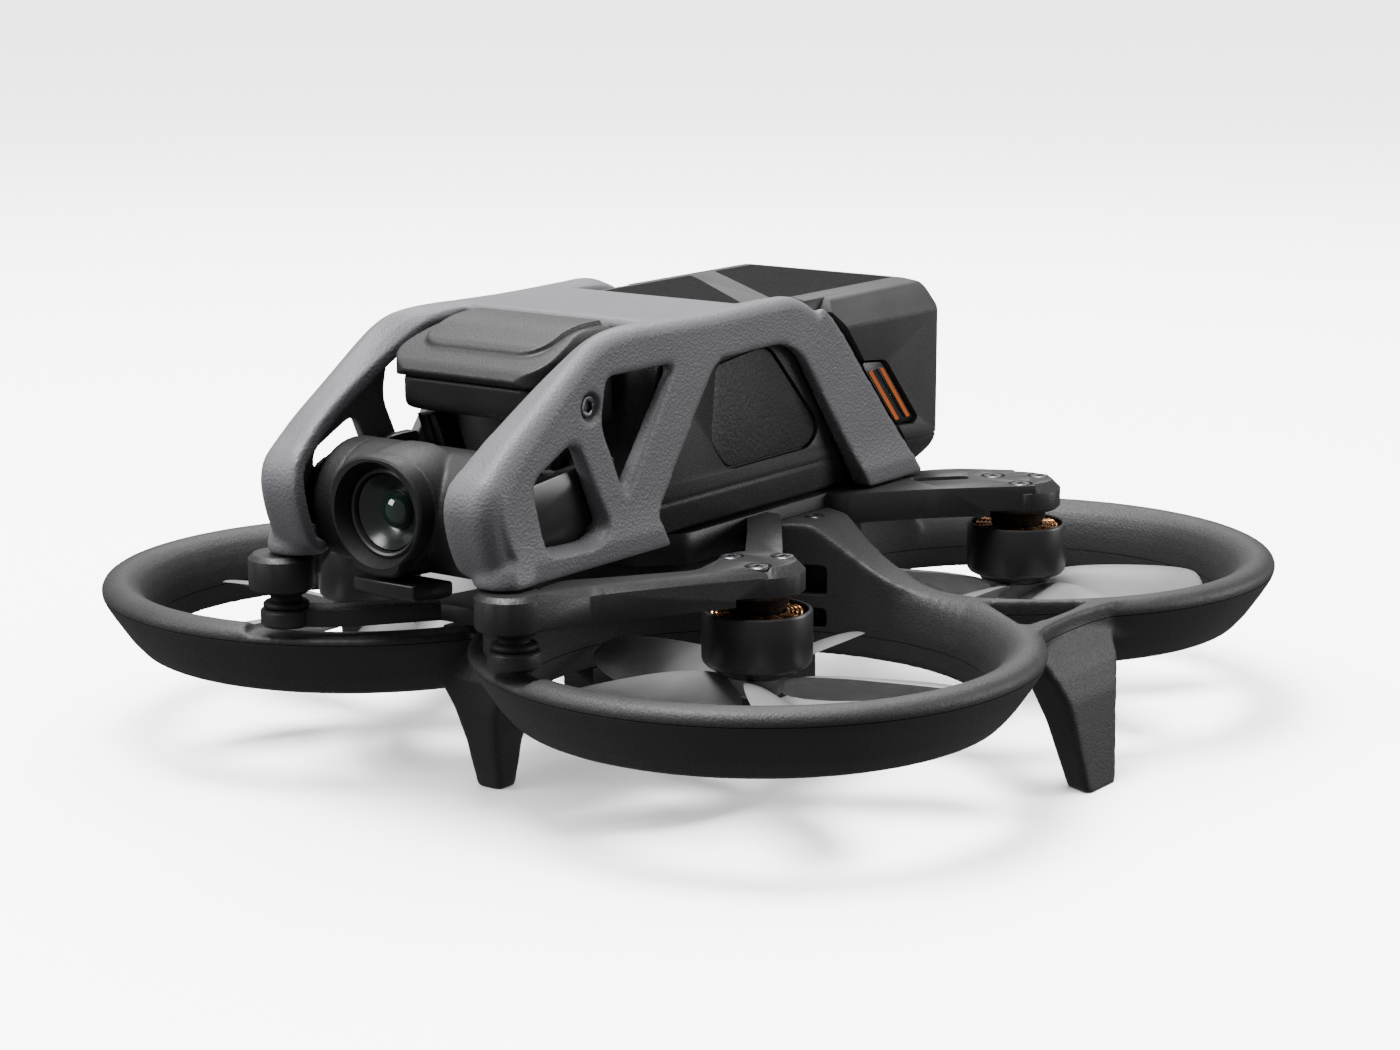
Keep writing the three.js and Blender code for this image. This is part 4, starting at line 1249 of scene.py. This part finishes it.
def battery_body():
    """The battery's shell with its pockets, as a narrow front and a wider tail."""
    front = along("front", FRONT_SECTION, -37, 14)
    both = join(front, along("rear", TAIL_SECTION, *TAIL_RANGE))
    core = overlap(across("core", CORE_SIDE, -CORE_HALF, CORE_HALF), both)
    section = along("tail_section", TAIL_SECTION, *TAIL_RANGE)
    shell = join(core, overlap(across("tail", TAIL_SIDE, -25, 25), section))
    holes = [across("hole", LATCH_HOLE, *span(s, 21.2, 30)) for _, s in SIDES]
    well = along("well", circle(0, BUTTON_Z, BUTTON_R + GAP), BATTERY_REAR - 1.9, 60)
    panels = [plate("panel", rounded(p, 1.2), BATTERY_TOP - 0.22, 90) for p in TOP_PANELS]
    side_line = oblong(5, 60, *BATTERY_LINE)
    lines = [across("line", side_line, *span(s, 24.1, 30)) for _, s in SIDES]
    cut(shell, *holes, well, *panels, *lines)
    cut(shell, along("line_rear", oblong(-22, 22, *BATTERY_LINE), BATTERY_REAR - 0.25, 60))
    shell.name = "battery_shell"
    return shaded(edged(shell, 0.32), 24)


def build_latch(name, s):
    latch = across(f"latch_key_{name}", LATCH_SIDE, *span(s, 22.75, 23.7))
    ribs = [across("rib", stripe, *span(s, 23.4, 24.0)) for stripe in STRIPE_SIDES]
    backs = [rounded([(y - 0.5, z) for y, z in stripe], 0.2, 2) for stripe in STRIPE_SIDES]
    join(latch, *[across("raise", back, *span(s, 23.4, 23.85)) for back in backs])
    finished(edged(latch, 0.2), f"latch_{name}", LATCH, "latch_black", f"battery_latch_{name}")
    stripes = shaded(merged(f"latch_stripes_{name}", *ribs), 30)
    finished(stripes, f"latch_{name}", STRIPE, "latch_black")


def build_battery():
    finished(battery_body(), "battery", BATTERY, "battery_grey", "battery_pack")
    for i, outline in enumerate(TOP_PANELS):
        name = f"battery_top_panel_{i + 1}"
        inset = plate(name, rounded(outline, 1.2), BATTERY_TOP - 0.4, BATTERY_TOP - 0.16)
        finished(shaded(inset, 30), "battery", BATTERY_DARK, "battery_grey")
    for name, s in SIDES:
        build_latch(name, s)
    face = BATTERY_REAR + 0.2
    button = join(
        along("power_key", circle(0, BUTTON_Z, BUTTON_R), BATTERY_REAR - 0.75, face - 0.25),
        along("rim", circle(0, BUTTON_Z, BUTTON_R - 0.9), BATTERY_REAR - 0.75, face),
    )
    cut(button, along("hollow", circle(0, BUTTON_Z, BUTTON_R - 1.8), face - 0.3, 60))
    finished(edged(button, 0.15), "button", LATCH, "latch_black", "power_button")
    dots = []
    for k in range(CHARGE_DOTS):
        outline = circle(-4.5 + 3 * k, BUTTON_Z + 9, 0.7, 24)
        dots.append(along("dot", outline, BATTERY_REAR - 0.3, BATTERY_REAR + 0.08))
    lights = shaded(merged("charge_lights", *dots), 30)
    finished(lights, "battery", LENS, "lens_dark")


build_guard()
build_belly()
build_deck()
build_dampers()
build_motors()
build_bay()
build_canopy()
build_cover()
build_camera_unit()
build_yokes()
build_battery()


# ---- stage ----
FLOOR_HALF = 30000
SKY = 0.22
FLOOR_SUN = 11
LAMPS = (  # name, place and size in metres, watts
    ("top", (-0.1, -0.25, 1.1), (0.6, 0.6), 31),
    ("front", (-0.55, -0.75, 0.5), (0.5, 0.4), 6),
    ("rim", (0.68, 0.62, 0.26), (0.4, 0.3), 4.2),
    ("back", (-0.35, 0.55, 0.75), (0.6, 0.4), 6),
)
VIEW_AZIMUTH = math.radians(35.75)
VIEW_ELEVATION = math.radians(12)
VIEW_DISTANCE = 556
VIEW_HEIGHT = 36.5 - LOW
SENSOR_WIDTH = 36
FOCAL_LENGTH = 78.2
LENS_SHIFT = 0.0011


def build_stage():
    ground = (-FLOOR_HALF, FLOOR_HALF, -FLOOR_HALF, FLOOR_HALF)
    floor = block("floor", *ground, LOW - 12, LOW - 0.02)
    n = Nodes("floor_white")
    tone = n.tint(n.noise(3, 2), (0.94, 0.94, 0.94), (0.96, 0.96, 0.96))
    n.link(tone, n.shader.inputs["Base Color"])
    n.set(Roughness=0.8, Specular_IOR_Level=0.2)
    floor.data.materials.append(n.material)
    # its bright light stays off the drone
    floor.visible_diffuse = False
    floor.visible_glossy = False
    floor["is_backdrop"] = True
    return floor


def placed(name, light, place, target):
    """A light that stands at one place and points at another."""
    obj = added(name, light)
    obj.location = place
    obj.rotation_euler = (Vector(target) - Vector(place)).to_track_quat("-Z", "Y").to_euler()
    return obj


def lamp(name, place, size, watts):
    """A soft box that points at the drone."""
    light = bpy.data.lights.new(name, "AREA")
    light.shape = "RECTANGLE"
    light.size, light.size_y = size
    light.energy = watts
    return placed(name, light, place, (0, 0, 0.04))


def build_lights(floor):
    world = bpy.data.worlds.new("studio")
    bpy.context.scene.world = world
    world.use_nodes = True
    sky = world.node_tree.nodes["Background"]
    sky.inputs["Color"].default_value = (1, 1, 1, 1)
    sky.inputs["Strength"].default_value = SKY
    # an even light on the floor alone keeps the stage white up to the horizon
    sun = bpy.data.lights.new("floor_light", "SUN")
    sun.energy = FLOOR_SUN
    sun.angle = math.radians(120)
    even = placed("floor_light", sun, (0, 0, 3), (0, 0.01, 0))
    only_floor = bpy.data.collections.new("floor_only")
    only_floor.objects.link(floor)
    even.light_linking.receiver_collection = only_floor
    for name, place, size, watts in LAMPS:
        lamp(name, place, size, watts)


def build_camera():
    target = Vector((0, 0, VIEW_HEIGHT))
    back = Vector((
        math.sin(VIEW_AZIMUTH) * math.cos(VIEW_ELEVATION),
        -math.cos(VIEW_AZIMUTH) * math.cos(VIEW_ELEVATION),
        math.sin(VIEW_ELEVATION),
    ))
    camera = bpy.data.cameras.new("camera")
    camera.sensor_width = SENSOR_WIDTH
    camera.lens = FOCAL_LENGTH
    camera.shift_x = LENS_SHIFT
    camera.clip_start = 0.01
    obj = added("camera", camera)
    obj.location = (target + back * VIEW_DISTANCE) * MM
    obj.rotation_euler = back.to_track_quat("Z", "Y").to_euler()
    bpy.context.scene.camera = obj


build_lights(build_stage())
build_camera()
boxes = {"cad": cad_box, "visual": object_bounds()}
{k: [[float(v) for v in corner] for corner in b] for k, b in boxes.items()}
